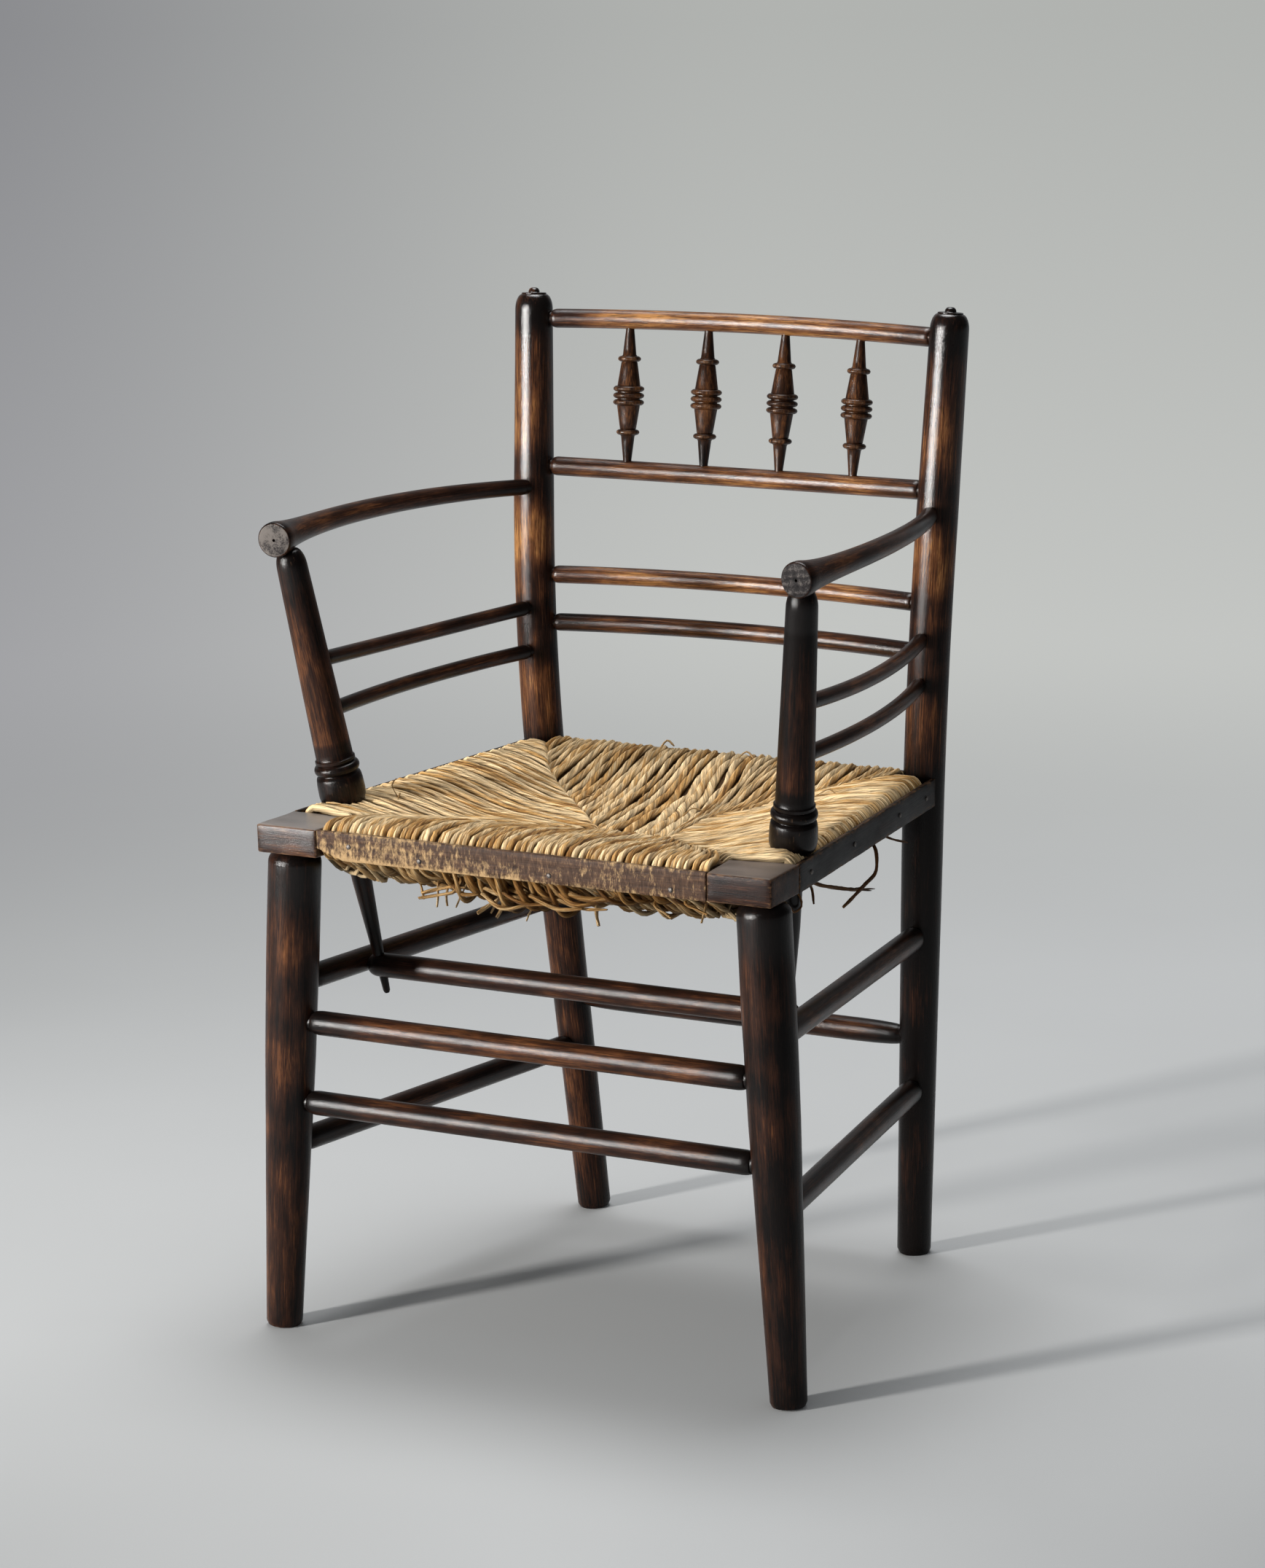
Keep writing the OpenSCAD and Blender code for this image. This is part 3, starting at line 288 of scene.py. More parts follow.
def board(name, outline, z0, z1, size, node, material, radius, cell, along, dent, warmth,
          carve=None):
    """Box with worn edges between two heights. The outline holds its plan points at (low x,
    low y), (high, low), (low, high) and (high, high), and size its three lengths."""
    half = np.array(size, float) / 2
    lines = []
    for h in half:
        inner = np.linspace(-(h - radius), h - radius, max(2, int(2 * h / cell) + 1))
        edge = [h - radius * 0.62, h - radius * 0.22, h]
        lines.append(np.array([-e for e in reversed(edge)] + list(inner) + edge))
    index, verts, faces = {}, [], []

    def vertex(key):
        if key not in index:
            index[key] = len(verts)
            verts.append([lines[a][key[a]] for a in range(3)])
        return index[key]

    for axis in range(3):
        a, b = (axis + 1) % 3, (axis + 2) % 3
        for side in (0, len(lines[axis]) - 1):
            for i in range(len(lines[a]) - 1):
                for j in range(len(lines[b]) - 1):
                    quad = []
                    for di, dj in ((0, 0), (1, 0), (1, 1), (0, 1)):
                        key = [0, 0, 0]
                        key[axis], key[a], key[b] = side, i + di, j + dj
                        quad.append(vertex(tuple(key)))
                    faces.append(quad if side else quad[::-1])
    local = np.array(verts)
    core = np.clip(local, -(half - radius), half - radius)
    off = local - core
    reach = norm(off, axis=1, keepdims=True)
    rounded = core + np.where(reach > 1e-6, off / np.maximum(reach, 1e-6) * radius, 0)
    second = np.sort(half - np.abs(local), axis=1)[:, 1]
    wear = np.clip(1 - second / 4.5, 0, 1) * BOARD_RUB
    shift = [uniform(-50, 50) for _ in range(3)]
    out = []
    for p, w in zip(rounded, wear):
        q = Vector(p * 0.05) + Vector(shift)
        p = p - np.sign(p) * w / BOARD_RUB * dent * (1 + noise.noise(q * 2.3)) * 0.5
        out.append(p + np.sign(p) * noise.noise(q * 0.7) * dent * 0.4)
    out = np.array(out)
    if carve:
        out = carve(out, half)
    share = (out / half + 1) / 2
    points = np.zeros_like(out)
    for sx, sy, sz in np.ndindex(2, 2, 2):
        weight = np.prod([share[:, a] if s else 1 - share[:, a]
                          for a, s in enumerate((sx, sy, sz))], axis=0)
        points += weight[:, None] * vec(*outline[sx + 2 * sy], (z0, z1)[sz])
    finish_mesh(name, points, faces, material, node, {
        "grain": (np.roll(out, 2 - along, axis=1) + np.array(shift)) * MM, "wear": wear,
        "warm": warmth(share) if callable(warmth) else np.full(len(out), warmth)}, 50)


# materials

class Nodes:
    """Short hand for building the nodes of a material or of the world."""

    def __init__(self, name, kind="materials"):
        self.owner = getattr(bpy.data, kind).new(name)
        self.owner.use_nodes = True
        self.tree = self.owner.node_tree
        self.tree.nodes.clear()
        self.output = self.add("Output" + kind[:-1].title())

    def add(self, kind, inputs=None, **settings):
        node = self.tree.nodes.new("ShaderNode" + kind)
        for key, value in settings.items():
            setattr(node, key, value)
        for key, value in (inputs or {}).items():
            if isinstance(value, bpy.types.NodeSocket):
                self.tree.links.new(value, node.inputs[key])
            else:
                node.inputs[key].default_value = value
        return node

    def field(self, name, output="Fac"):
        return self.add("Attribute", attribute_name=name).outputs[output]

    def noise(self, vector, scale, stretch=(1, 1, 1), detail=5.0, rough=0.65):
        place = self.add("Mapping", {"Vector": vector, "Scale": stretch}).outputs[0]
        return self.add("TexNoise", {"Vector": place, "Scale": scale, "Detail": detail,
                                     "Roughness": rough}).outputs["Fac"]

    def math(self, operation, *values, clamp=False):
        return self.add("Math", dict(enumerate(values)), operation=operation,
                        use_clamp=clamp).outputs[0]

    def add_up(self, a, b, clamp=False):
        return self.math("ADD", a, b, clamp=clamp)

    def times(self, a, b):
        return self.math("MULTIPLY", a, b)

    def madd(self, a, b, c):
        return self.math("MULTIPLY_ADD", a, b, c)

    def span(self, value, low, high, to_low=0.0, to_high=1.0, **settings):
        return self.add("MapRange", {"Value": value, "From Min": low, "From Max": high,
                                     "To Min": to_low, "To Max": to_high}, **settings).outputs[0]

    def blend(self, factor, a, b, mode="MIX"):
        """Colours are three or four numbers, or a socket."""
        a, b = [(*c, 1) if isinstance(c, tuple) else c for c in (a, b)]
        return self.add("Mix", {0: factor, 6: a, 7: b}, data_type="RGBA",
                        blend_type=mode).outputs[2]

    def ramp(self, factor, stops, tint=(1, 1, 1)):
        node = self.add("ValToRGB", {0: factor})
        band = node.color_ramp.elements
        while len(band) < len(stops):
            band.new(0.5)
        for element, (place, colour) in zip(band, stops):
            element.position, element.color = place, (*(np.array(colour) * tint), 1)
        return node.outputs[0]

    def rgb(self, red, green, blue):
        return self.add("CombineColor", {0: red, 1: green, 2: blue}).outputs[0]

    def bump(self, height, distance, strength):
        return self.add("Bump", {"Height": height, "Distance": distance,
                                 "Strength": strength}).outputs[0]

    def finish(self, shader):
        self.tree.links.new(shader.outputs[0], self.output.inputs[0])
        return self.owner

    def surface(self, colour, roughness, normal, **constants):
        inputs = {"Base Color": colour, "Roughness": roughness, "Normal": normal}
        inputs.update({k.replace("_", " "): v for k, v in constants.items()})
        return self.finish(self.add("BsdfPrincipled", inputs))


def wood(name, lean, gloss, coat, tint=(1, 1, 1), dusty=0.0, streaky=0.3, patchy=False):
    """Stained wood: grain from black to red brown, tan where the stain has worn off. Where
    patchy is set, the polish is thinner where the matt field is high."""
    n = Nodes(name)
    grain, wear, warm = n.field("grain", "Vector"), n.field("wear"), n.field("warm")
    streaks, bands, clouds, pores, fleck, soil, nap = [
        n.noise(grain, scale, (1, 1, along), detail, rough) for scale, along, detail, rough in (
            (900, 0.035, 5, 0.65), (260, 0.05, 3, 0.5), (48, 0.35, 4, 0.6), (1700, 0.05, 2, 0.5),
            (420, 0.3, 4, 0.7), (35, 0.5, 4, 0.6), (2300, 0.12, 3, 0.7))]
    heat = n.madd(n.span(streaks, 0.32, 0.68, -0.5, 0.5), streaky, warm)
    heat = n.madd(n.span(bands, 0.34, 0.66), 0.2, heat)
    heat = n.madd(n.span(clouds, 0.34, 0.66), 0.38, heat)
    colour = n.ramp(n.add_up(heat, lean - 0.34, True),
                    [(0.0, (0.004, 0.0028, 0.0025)), (0.35, (0.028, 0.0108, 0.006)),
                     (0.65, (0.108, 0.041, 0.016)), (1.0, (0.36, 0.17, 0.056))], tint)
    colour = n.blend(n.times(n.span(pores, 0.54, 0.64), 0.7), colour, (0.006, 0.004, 0.0035))
    edge = n.madd(n.span(fleck, 0.35, 0.75), 0.9, n.math("SUBTRACT", wear, 0.75))
    rub = n.span(edge, 0.05, 0.6)
    colour = n.blend(n.times(rub, 0.65), colour, (0.2, 0.108, 0.056))
    if dusty:
        facing = n.add("SeparateXYZ", {0: n.add("NewGeometry").outputs["Normal"]}).outputs[2]
        lying = n.times(n.span(facing, 0.6, 1.0), n.span(soil, 0.2, 0.7, 0.5, 1.0))
        dust = n.blend(n.span(warm, 0.3, 0.7), (0.165, 0.13, 0.106), (0.42, 0.39, 0.37))
        colour = n.blend(n.times(lying, dusty), colour, dust)
    rough = n.madd(rub, 0.2, n.madd(n.span(soil, 0.3, 0.7), 0.14, gloss))
    relief = n.madd(nap, 0.35, n.madd(streaks, 0.7, n.times(pores, 0.6)))
    polish = n.bump(n.madd(pores, 0.5, nap), 0.0003, 0.42)
    if patchy:
        coat = n.span(n.field("matt"), 0.0, 1.0, coat, 0.0)
    return n.surface(colour, rough, n.bump(relief, 0.0004, 0.6), Specular_IOR_Level=0.06,
                     Coat_Weight=coat, Coat_Roughness=0.15, Coat_Normal=polish)


def bare_wood(name):
    """The front strip: dark brown wood whose stain has come off in upright flecks."""
    n = Nodes(name)
    grain, wear, warm = n.field("grain", "Vector"), n.field("wear"), n.field("warm")
    upright = n.noise(grain, 430, (1, 0.3, 1), 5, 0.7)
    patches = n.noise(grain, 150, (1, 0.5, 1), 5, 0.75)
    along = n.noise(grain, 300, (1, 1, 0.05), 4, 0.6)
    soil = n.noise(grain, 22, (1, 1, 0.6), 3, 0.5)
    flecks = n.span(upright, 0.3, 0.7)
    depth = n.madd(flecks, 0.5, n.span(along, 0.2, 0.9, 0, 0.5))
    dark = n.ramp(depth, [(0.15, (0.018, 0.01, 0.007)), (0.5, (0.06, 0.033, 0.021)),
                          (0.9, (0.2, 0.115, 0.062))])
    pale = n.ramp(depth, [(0.1, (0.23, 0.142, 0.068)), (0.9, (0.56, 0.38, 0.19))])
    bare = n.madd(flecks, 0.5, n.span(patches, 0.25, 0.75, 0, 0.9))
    bare = n.madd(n.span(soil, 0.35, 0.65), 0.22, bare)
    mask = n.span(n.madd(wear, 0.3, n.add_up(bare, warm)), 1.12, 1.54)
    relief = n.madd(mask, -0.5, n.add_up(upright, along))
    return n.surface(n.blend(n.times(mask, 0.82), dark, pale), n.span(mask, 0, 1, 0.42, 0.65),
                     n.bump(relief, 0.0006, 0.6), Specular_IOR_Level=0.08)


def end_grain(name):
    """Sawn end of a turned piece: dark, with fine rings and small checks."""
    n = Nodes(name)
    grain, warm = n.field("grain", "Vector"), n.field("warm")
    fine = n.noise(grain, 900)
    broad = n.noise(grain, 130, (1, 0.5, 1), 4, 0.6)
    warp = n.add("VectorMath", {0: grain, 1: (0.004, 0.011, 0.0)}, operation="ADD").outputs[0]
    rings = n.add("TexWave", {"Vector": warp, "Scale": 55, "Distortion": 5.0, "Detail": 3.0,
                              "Detail Scale": 2.0}, wave_type="RINGS").outputs["Fac"]
    shade = n.madd(rings, 0.22, n.span(broad, 0.3, 0.7, 0.0, 0.5))
    shade = n.add_up(n.add_up(n.span(fine, 0.3, 0.7, 0.0, 0.42), shade), warm)
    colour = n.ramp(shade, [(0.3, (0.005, 0.0045, 0.0045)), (0.65, (0.022, 0.019, 0.019)),
                            (1.0, (0.12, 0.105, 0.095))])
    return n.surface(colour, 0.55, n.bump(n.add_up(fine, rings), 0.0003, 0.5),
                     Specular_IOR_Level=0.07)


def rush(name, tint, stain=(1, 1, 1)):
    """Twisted rush: fibres follow each strand, and strands differ in tone. The shade field is
    painted shade, which darkens the colour towards near black.
    """
    n = Nodes(name)
    fibre, tone, shade = n.field("fibre", "Vector"), n.field("tone"), n.field("shade")
    lines, leaf, veins, spots = [
        n.noise(fibre, scale, (1, 1, along), detail, rough) for scale, along, detail, rough in (
            (1300, 0.02, 4, 0.6), (480, 0.03, 3, 0.6), (560, 0.022, 3, 0.55),
            (190, 0.3, 5, 0.7))]
    patch = n.noise(n.add("NewGeometry").outputs["Position"], 24)
    level = n.madd(n.span(lines, 0.3, 0.7), 0.34, tone)
    level = n.madd(n.span(leaf, 0.34, 0.66), 0.56, level)
    level = n.add_up(level, n.span(patch, 0.38, 0.62, -0.2, 0.1))
    colour = n.ramp(n.add_up(level, tint - 0.45, True),
                    [(0.0, (0.125, 0.048, 0.012)), (0.3, (0.36, 0.172, 0.048)),
                     (0.6, (0.66, 0.375, 0.125)), (1.0, (0.93, 0.69, 0.39))], stain)
    mark = n.span(spots, 0.64, 0.74)
    colour = n.blend(n.times(mark, 0.55), colour, (0.13, 0.065, 0.025))
    crack = n.span(n.math("ABSOLUTE", n.math("SUBTRACT", veins, 0.5)), 0.008, 0.045, 1.0, 0.0)
    colour = n.blend(n.times(crack, 0.55), colour, (0.11, 0.05, 0.015))
    relief = n.madd(crack, -0.35, n.madd(leaf, 0.8, n.times(lines, 0.5)))
    # Painted shade: the shade field blends the colour towards near black
    return n.surface(n.blend(shade, colour, (0.03, 0.015, 0.006)),
                     n.span(leaf, 0.3, 0.7, 0.4, 0.6), n.bump(relief, 0.0012, 0.9),
                     Specular_IOR_Level=0.16)


def iron(name):
    """Dark iron, brighter in patches."""
    n = Nodes(name)
    worn = n.noise(n.field("grain", "Vector"), 900, (1, 1, 1), 5, 0.7)
    colour = n.ramp(worn, [(0.35, (0.05, 0.045, 0.043)), (0.6, (0.16, 0.14, 0.125)),
                           (0.8, (0.4, 0.37, 0.35))])
    return n.surface(colour, n.span(worn, 0.3, 0.7, 0.3, 0.6), n.bump(worn, 0.0004, 0.6),
                     Metallic=0.7)


post_wood = wood("post_wood", 0.12, 0.22, 0.9, streaky=0.5, patchy=True)
leg_wood = wood("leg_wood", 0.08, 0.27, 0.42, streaky=0.34, patchy=True)
rail_wood = wood("rail_wood", 0.22, 0.24, 0.65, streaky=0.46)
turned_wood = wood("turned_wood", 0.08, 0.27, 0.36)
stretcher_wood = wood("stretcher_wood", 0.12, 0.3, 0.38)
spindle_wood = wood("spindle_wood", 0.09, 0.27, 0.4, (1.08, 1.1, 1.0), streaky=0.44)
strip_wood = wood("strip_wood", -0.24, 0.34, 0.06, (0.75, 0.95, 1.2))
block_wood = wood("block_wood", 0.0, 0.34, 0.12, (0.85, 0.9, 1.0), 0.85, 0.4)
block_pale = wood("block_pale", -0.11, 0.3, 0.4, (0.85, 0.9, 1.0), 0.85, 0.4)
worn_wood, cut_wood = bare_wood("worn_wood"), end_grain("cut_wood")
rush_pale, rush_brown = rush("rush_pale", 0.56), rush("rush_brown", 0.33)
rush_old = rush("rush_old", 0.04, (0.8, 0.76, 0.7))
nail_iron = iron("nail_iron")


# profiles

def round_end(r0, z0, r1, z1, steps=7):
    return [(z0 + (z1 - z0) * sin(pi / 2 * i / steps),
             r1 + (r0 - r1) * cos(pi / 2 * i / steps)) for i in range(steps + 1)]


def bead(r, proud, z0, z1, steps=9):
    return [(mix(z0, z1, (1 - cos(pi * i / steps)) / 2),
             r + proud * sin(pi * i / steps)) for i in range(steps + 1)]


def tenoned(length, d, tenon, hold0, hold1, depth, rounding):
    """Round bar whose rounded ends stop at what holds them, with a tenon that goes on."""
    e, near, far = tenon / 2, hold0 + GAP, length - hold1 - GAP
    swell = [(rounding * (1 - cos(radians(10 * i))),
              e + (d - tenon) / 2 * sin(radians(10 * i))) for i in range(10)]
    return ([(near - depth, e)] + [(near + z, r) for z, r in swell]
            + [(far - z, r) for z, r in reversed(swell)] + [(far + depth, e)])


def dark_ends(length, ends, middle, reach, front=0.0):
    """Warmth that falls off towards a member's two ends."""
    def value(s, c, n):
        d = min(s, length - s)
        return ends + (middle - ends) * smooth(d / reach) + front * c
    return value


def dark_near(places, base, depth, reach, front, aside=0.0):
    """Warmth that drops near the joints at the given lengths. front and aside warm the side of a
    member that faces the key light and darken the side away from it: painted light and shade.
    """
    def value(s, c, n):
        d = min(abs(s - p) for p in places)
        return base(s) - depth * exp(-(d / reach) ** 2) + front * c + aside * n
    return value


def bar(node, path, d, tenon, holds, depth, rounding, material, around, step, uneven, *warmth):
    """Round bar between two uprights, warm in its middle."""
    rod(node + "_wood", path, tenoned(path.length, d, tenon, *holds, depth, rounding), node,
        material, around, step, uneven, dark_ends(path.length, *warmth))


# Members between the uprights: heights, and then warmth or shape
SIDE_RAILS = [("upper", 571.5, 568.5, 12.0, -3.5), ("lower", 526.5, 529.0, 14.0, -0.5)]
SIDE_STRETCHERS = [("upper", 303.5, 301.0, 0.24), ("lower", 161.0, 158.5, 0.2)]
FRONT_STRETCHERS = [("upper", 272.0, 0.36), ("lower", 201.5, 0.3)]
REAR_STRETCHER_Z = 205


# uprights

KNOB, DISC = 4.5, 1.2
POST_JOINTS = (823, 693.5, 675, 596, 569, 553, 529, 440, 301, REAR_STRETCHER_Z, 158.5)


def make_post(side, path):
    full, right_side = path.length, side == "right"
    disc = full - KNOB - DISC
    profile = ([(0.2, 11.5), (1.0, 13.4), (4.5, 15.0)]
               + [(BEND_LOW_S, 18.0), (BEND_HIGH_S, 18.0)]
               + round_end(16.75, disc - 14, 10.4, disc, 10)
               + [(disc + 0.1, 11.0), (disc + 1.0, 10.9), (disc + 1.3, 10.2), (disc + 1.4, 5.2)]
               + round_end(5.0, disc + 1.6, 1.5, full, 6))

    def base(s):
        dull = 0.0 if right_side else mix(0.4, 0.14, smooth((s / full - 0.48) / 0.1))
        return lookup(s / full, [0, 0.06, 0.3, 0.5, 0.56, 0.65, 0.7, 0.8, 0.9, 1],
                      [0.1, 0.26, 0.3, 0.1, 0.48, 0.5, 0.66, 0.62, 0.5, 0.12]) - dull

    # On the posts the warmer side facing the key light is partly worn golden wood and partly
    # painted light; the far side gets painted shade
    rod("post_" + side, path, profile, "rear_post_" + side, post_wood, 48, 6.0, 0.1,
        dark_near([full * z / HEIGHT for z in POST_JOINTS], base, 0.34, 15.0, 0.04,
                  -0.16 if right_side else -0.04),
        matt=lambda s: lookup(s / full, [0.45, 0.55, 0.76, 0.84],
                              [0.85, 0.85, 0.7, 0.0]))


def make_leg(side, path):
    full, left_side = path.length, side == "left"
    profile = ([(0.2, 11.5), (1.2, 14.0), (4.5, 15.5), (LEG_KNEE, 21.5), (LEG_WAIST, 22.5)]
               + round_end(22.5, full - 12, 10.5, full - GAP, 10)
               + [(full - GAP, 9.9), (full + 16, 9.9)])

    def base(s):
        return lookup(s / full, [0, 0.05, 0.25, 0.6, 0.8, 0.92, 1],
                      [0.2, 0.22, 0.3, 0.4, 0.4, 0.1, 0.0]) - 0.14 * left_side

    # On the legs front warms the side facing the key light as painted light and darkens the side
    # away from it as painted shade
    rod("leg_" + side, path, profile, "front_leg_" + side, leg_wood, 48, 6.0, 0.12,
        dark_near([z for _, z, *_ in SIDE_STRETCHERS + FRONT_STRETCHERS], base, 0.22, 18.0,
                  -0.1 if left_side else 0.12),
        matt=lambda s: mix(0.7 if left_side else 0.5, 0.0, smooth((s - full + 60) / 30)))


def make_support(side, path):
    left_side, low = side == "left", 16.0
    cup_low = support_length(SEAT_Z)
    cup = cup_low - 28
    seat_top = support_length(RAIL_MID_Z + 8) - 0.2
    profile = ([(-8.0, 5.6), (-1.0, 5.9)] + list(reversed(round_end(13, 15, 6, -1, 9)))
               + [(cup - 15.2, low), (cup - 14.2, low + 0.5), (cup - 13.6, low + 1.2),
                  (cup - 11.2, low + 1.2), (cup - 10.4, low + 0.2)]
               + bead(low, 3.5, cup - 9.6, cup - 1)
               + [(cup - 0.4, low + 0.2), (cup + 0.3, low + 1.4), (cup + 1.3, low + 2.7),
                  (cup + 3.2, low + 3.3), (cup + 7.5, low + 3.8)]
               + round_end(20, cup + 16.8, 13.75, cup_low, 8)
               + [(seat_top, 13.2), (seat_top, 9.2), (support_length(FRAME_Z), 9.2),
                  (support_length(FRAME_Z - 42), 8.5), (support_length(278), 3.0),
                  (support_length(276), 2.0)])

    def base(s, c, n):
        return lookup(s, [0, 14, 34, 90, 170, cup - 30, cup - 12, cup + 6, cup_low,
                          cup_low + 60, cup_low + 160],
                      [-0.05, -0.05, 0.1, 0.34, 0.42, 0.2, 0.0, -0.05, 0.1, 0.1,
                       0.0]) - 0.28 * left_side

    rod("support_" + side, path, profile, "arm_support_" + side, leg_wood, 48, 5.0,
        0.09, base, rub=0.3,
        matt=lambda s: (0.7 if left_side else 0.45) if 34 < s < cup - 20 else 0.1)


POST_PATH = Bent()
BEND_LOW_S = POST_PATH.low.length
BEND_HIGH_S = BEND_LOW_S + POST_PATH.arc.length
SIDES = (("left", lambda p: p), ("right", Mirrored))

for side, wrap in SIDES:
    make_post(side, wrap(POST_PATH))
    make_leg(side, wrap(Straight(LEG_FOOT, LEG_TOP)))
    make_support(side, wrap(Straight(SUPPORT_TOP, SUPPORT_TIP)))


# back: each rail's height, diameter, bow back and up, and warmth
BACK_RAILS = [(HEIGHT - 27, 17.0, 21.5, 1.5, 0.5), (693.5, 17.0, 17.0, -2.5, 0.44),
              (596.0, 16.0, 21.0, 1.0, 0.46), (553.0, 16.0, 21.0, 1.0, 0.22)]
back_lines = []
for i, (z, d, bow, rise, warm) in enumerate(BACK_RAILS):
    p, r = post_axis(z), post_radius(z)
    back_lines.append(Arc(p, flip(p), vec(0, bow, rise)))
    bar("back_rail_%d" % (i + 1), back_lines[i], d, 12.5, (r, r), 14.0, 5.0, rail_wood, 32, 6.0,
        0.04, -0.1, warm, 75.0, -0.04)

SPINDLE_PITCH, SPINDLE_TIP = 0.37, 3.75
SPINDLE_START = 8.5 + GAP
NECK, BODY, BIG = 6.0, 10.25, 13.75
# One end of a spindle, as (share of the length, radius), and the three beads in the middle
taper = ([(0.0, SPINDLE_TIP), (0.19, NECK)] + bead(NECK + 0.8, BODY - NECK - 0.8, 0.2, 0.245, 7)
         + [(0.25, NECK + 1.2), (0.42, BODY - 0.2), (0.426, BODY)])
beads = [p for c in (0.452, 0.504, 0.556)
         for p in bead(BODY - 0.3, BIG - BODY + 0.3, c - 0.0235, c + 0.0235, 8)]
for k in range(4):
    share = (k - 1.5) * SPINDLE_PITCH
    low, high = [line.at(line.length * (1 - share) / 2)[0] for line in back_lines[1::-1]]
    path = Straight(high, low)
    start, span = SPINDLE_START, path.length - 2 * SPINDLE_START
    profile = ([(start - 5, SPINDLE_TIP)] + [(start + span * z, r) for z, r in taper + beads]
               + [(start + span * (1.008 - z), r) for z, r in reversed(taper[1:])]
               + [(start + span, SPINDLE_TIP), (start + span + 5, SPINDLE_TIP)])
    rod("spindle_%d" % (k + 1), path, profile, "back_spindle_%d" % (k + 1), spindle_wood,
        36, 4.0, 0.07, dark_ends(path.length, 0.2, 0.34, 60.0), rub=0.6)


# arms, side rails and stretchers

def post_front(z):
    return post_axis(z) - vec(2, 12, 0)


ENTRY, SUPPORT_HOLD = 7, 16.8
ARM = Arc(vec(242, FRONT_Y + 44, 678.5), post_front(675.5), vec(23.5, 0, 4.5))
ARM_BIG, ARM_D, ARM_SMALL, ARM_TENON_R = 30, 19.5, 14, 6.6


def arm_radius(s):
    if s < 8:
        return lookup(s, [0, 0.5, 1.3, 2.8, 8], [13.2, 14.2, 14.75, 15, 15])
    wide = (ARM_BIG - ARM_D) * exp(-(s - 8) / 28) * smooth(1.2 - s / ARM.length)
    return (mix(ARM_D, ARM_SMALL, s / ARM.length) + wide) / 2


joint = ARM.length - ENTRY - GAP - 5
arm_profile = ([(2.2, 0.7), (1.6, 1.1), (0.1, 1.35), (0.0, 2.4), (0.0, 12.6)]
               + [(s, arm_radius(s)) for s in (0.25, 0.6, 1.3, 2.8, 5.5)]
               + [(s, arm_radius(s)) for s in np.linspace(8, joint, 60)]
               + [(joint + 5 * sin(radians(15 * i)),
                   ARM_TENON_R + 0.4 * cos(radians(15 * i))) for i in range(1, 7)]
               + [(joint + 16, ARM_TENON_R)])

for side, wrap in SIDES:
    def arm_warmth(s, c, n):
        # The right arm's front end and sawn disc are lighter, partly their own paler tone and
        # partly a painted reflection
        pale_end_and_painted_reflection = 0.3 if s < 0.3 and side == "right" else 0.0
        return lookup(s / ARM.length, [0, 0.03, 0.15, 0.5, 0.85, 1],
                      [0.05, 0.2, 0.34, 0.34, 0.14, -0.1]) + pale_end_and_painted_reflection

    rod("arm_%s_wood" % side, wrap(ARM), arm_profile, "arm_" + side, [turned_wood, cut_wood],
        44, 5.0, 0.09, arm_warmth, cap=lambda a, b: max(a, b) < 0.3)
    for word, z0, z1, bow, rise in SIDE_RAILS:
        bar("side_rail_%s_%s" % (word, side),
            wrap(Arc(support_axis(z0), post_front(z1), vec(bow, 0, rise))), 13, 10,
            (SUPPORT_HOLD, ENTRY), 12.0, 5.0, turned_wood, 28, 6.0, 0.08, -0.08, 0.26, 60.0)
    for word, z0, z1, warm in SIDE_STRETCHERS:
        bar("side_stretcher_%s_%s" % (word, side), wrap(Straight(leg_axis(z0), post_axis(z1))),
            21, 16, (leg_radius(z0), post_radius(z1)), 14.0, 9, stretcher_wood, 32, 7.0, 0.1,
            -0.15, warm, 70.0)

for word, z, warm in FRONT_STRETCHERS:
    a, r = leg_axis(z), leg_radius(z)
    bar("front_stretcher_" + word, Straight(flip(a), a), 21, 16, (r, r), 14.0, 9,
        stretcher_wood, 36, 7.0, 0.1, -0.2, warm, 90.0)

a, r = post_axis(REAR_STRETCHER_Z), post_radius(REAR_STRETCHER_Z)
bar("rear_stretcher", Straight(flip(a), a), 21, 16, (r, r), 14.0, 42, stretcher_wood, 32, 7.0,
    0.1, -0.1, 0.25, 90.0)

z0, z1 = SIDE_STRETCHERS[0][1:3]
BAR_Z = mix(z0, z1, 0.25) - 1.5
bar_y = support_axis(BAR_Z)[1]
a, b = leg_axis(z0), post_axis(z1)
bar_end = vec(mix(a, b, (bar_y - a[1]) / (b[1] - a[1]))[0], bar_y, BAR_Z)
bar("cross_bar", Straight(flip(bar_end), bar_end), 21, 11, (10.5, 10.5), 7.0, 9,
    stretcher_wood, 36, 7.0, 0.1, -0.05, 0.3, 60.0)


# seat frame

def mirror_outline(outline):
    return [(-outline[i][0], outline[i][1]) for i in (1, 0, 3, 2)]


def oblong(half, y0, y1):
    return [(-half, y0), (half, y0), (-half, y1), (half, y1)]


block = [(FRONT_HALF - BLOCK_W, FRONT_Y), (FRONT_HALF, FRONT_Y),
         (SHOULDER_HALF - BLOCK_W - BLOCK_FLARE, BLOCK_REAR_Y), (SHOULDER_HALF, BLOCK_REAR_Y)]
y0, y1 = BLOCK_REAR_Y + 0.2, STRIP_REAR_Y - 5
side_strip = [(side_face(y0) - STRIP, y0), (side_face(y0), y0), (side_face(y1) - STRIP, y1),
              (side_face(STRIP_REAR_Y - 1), STRIP_REAR_Y - 1)]

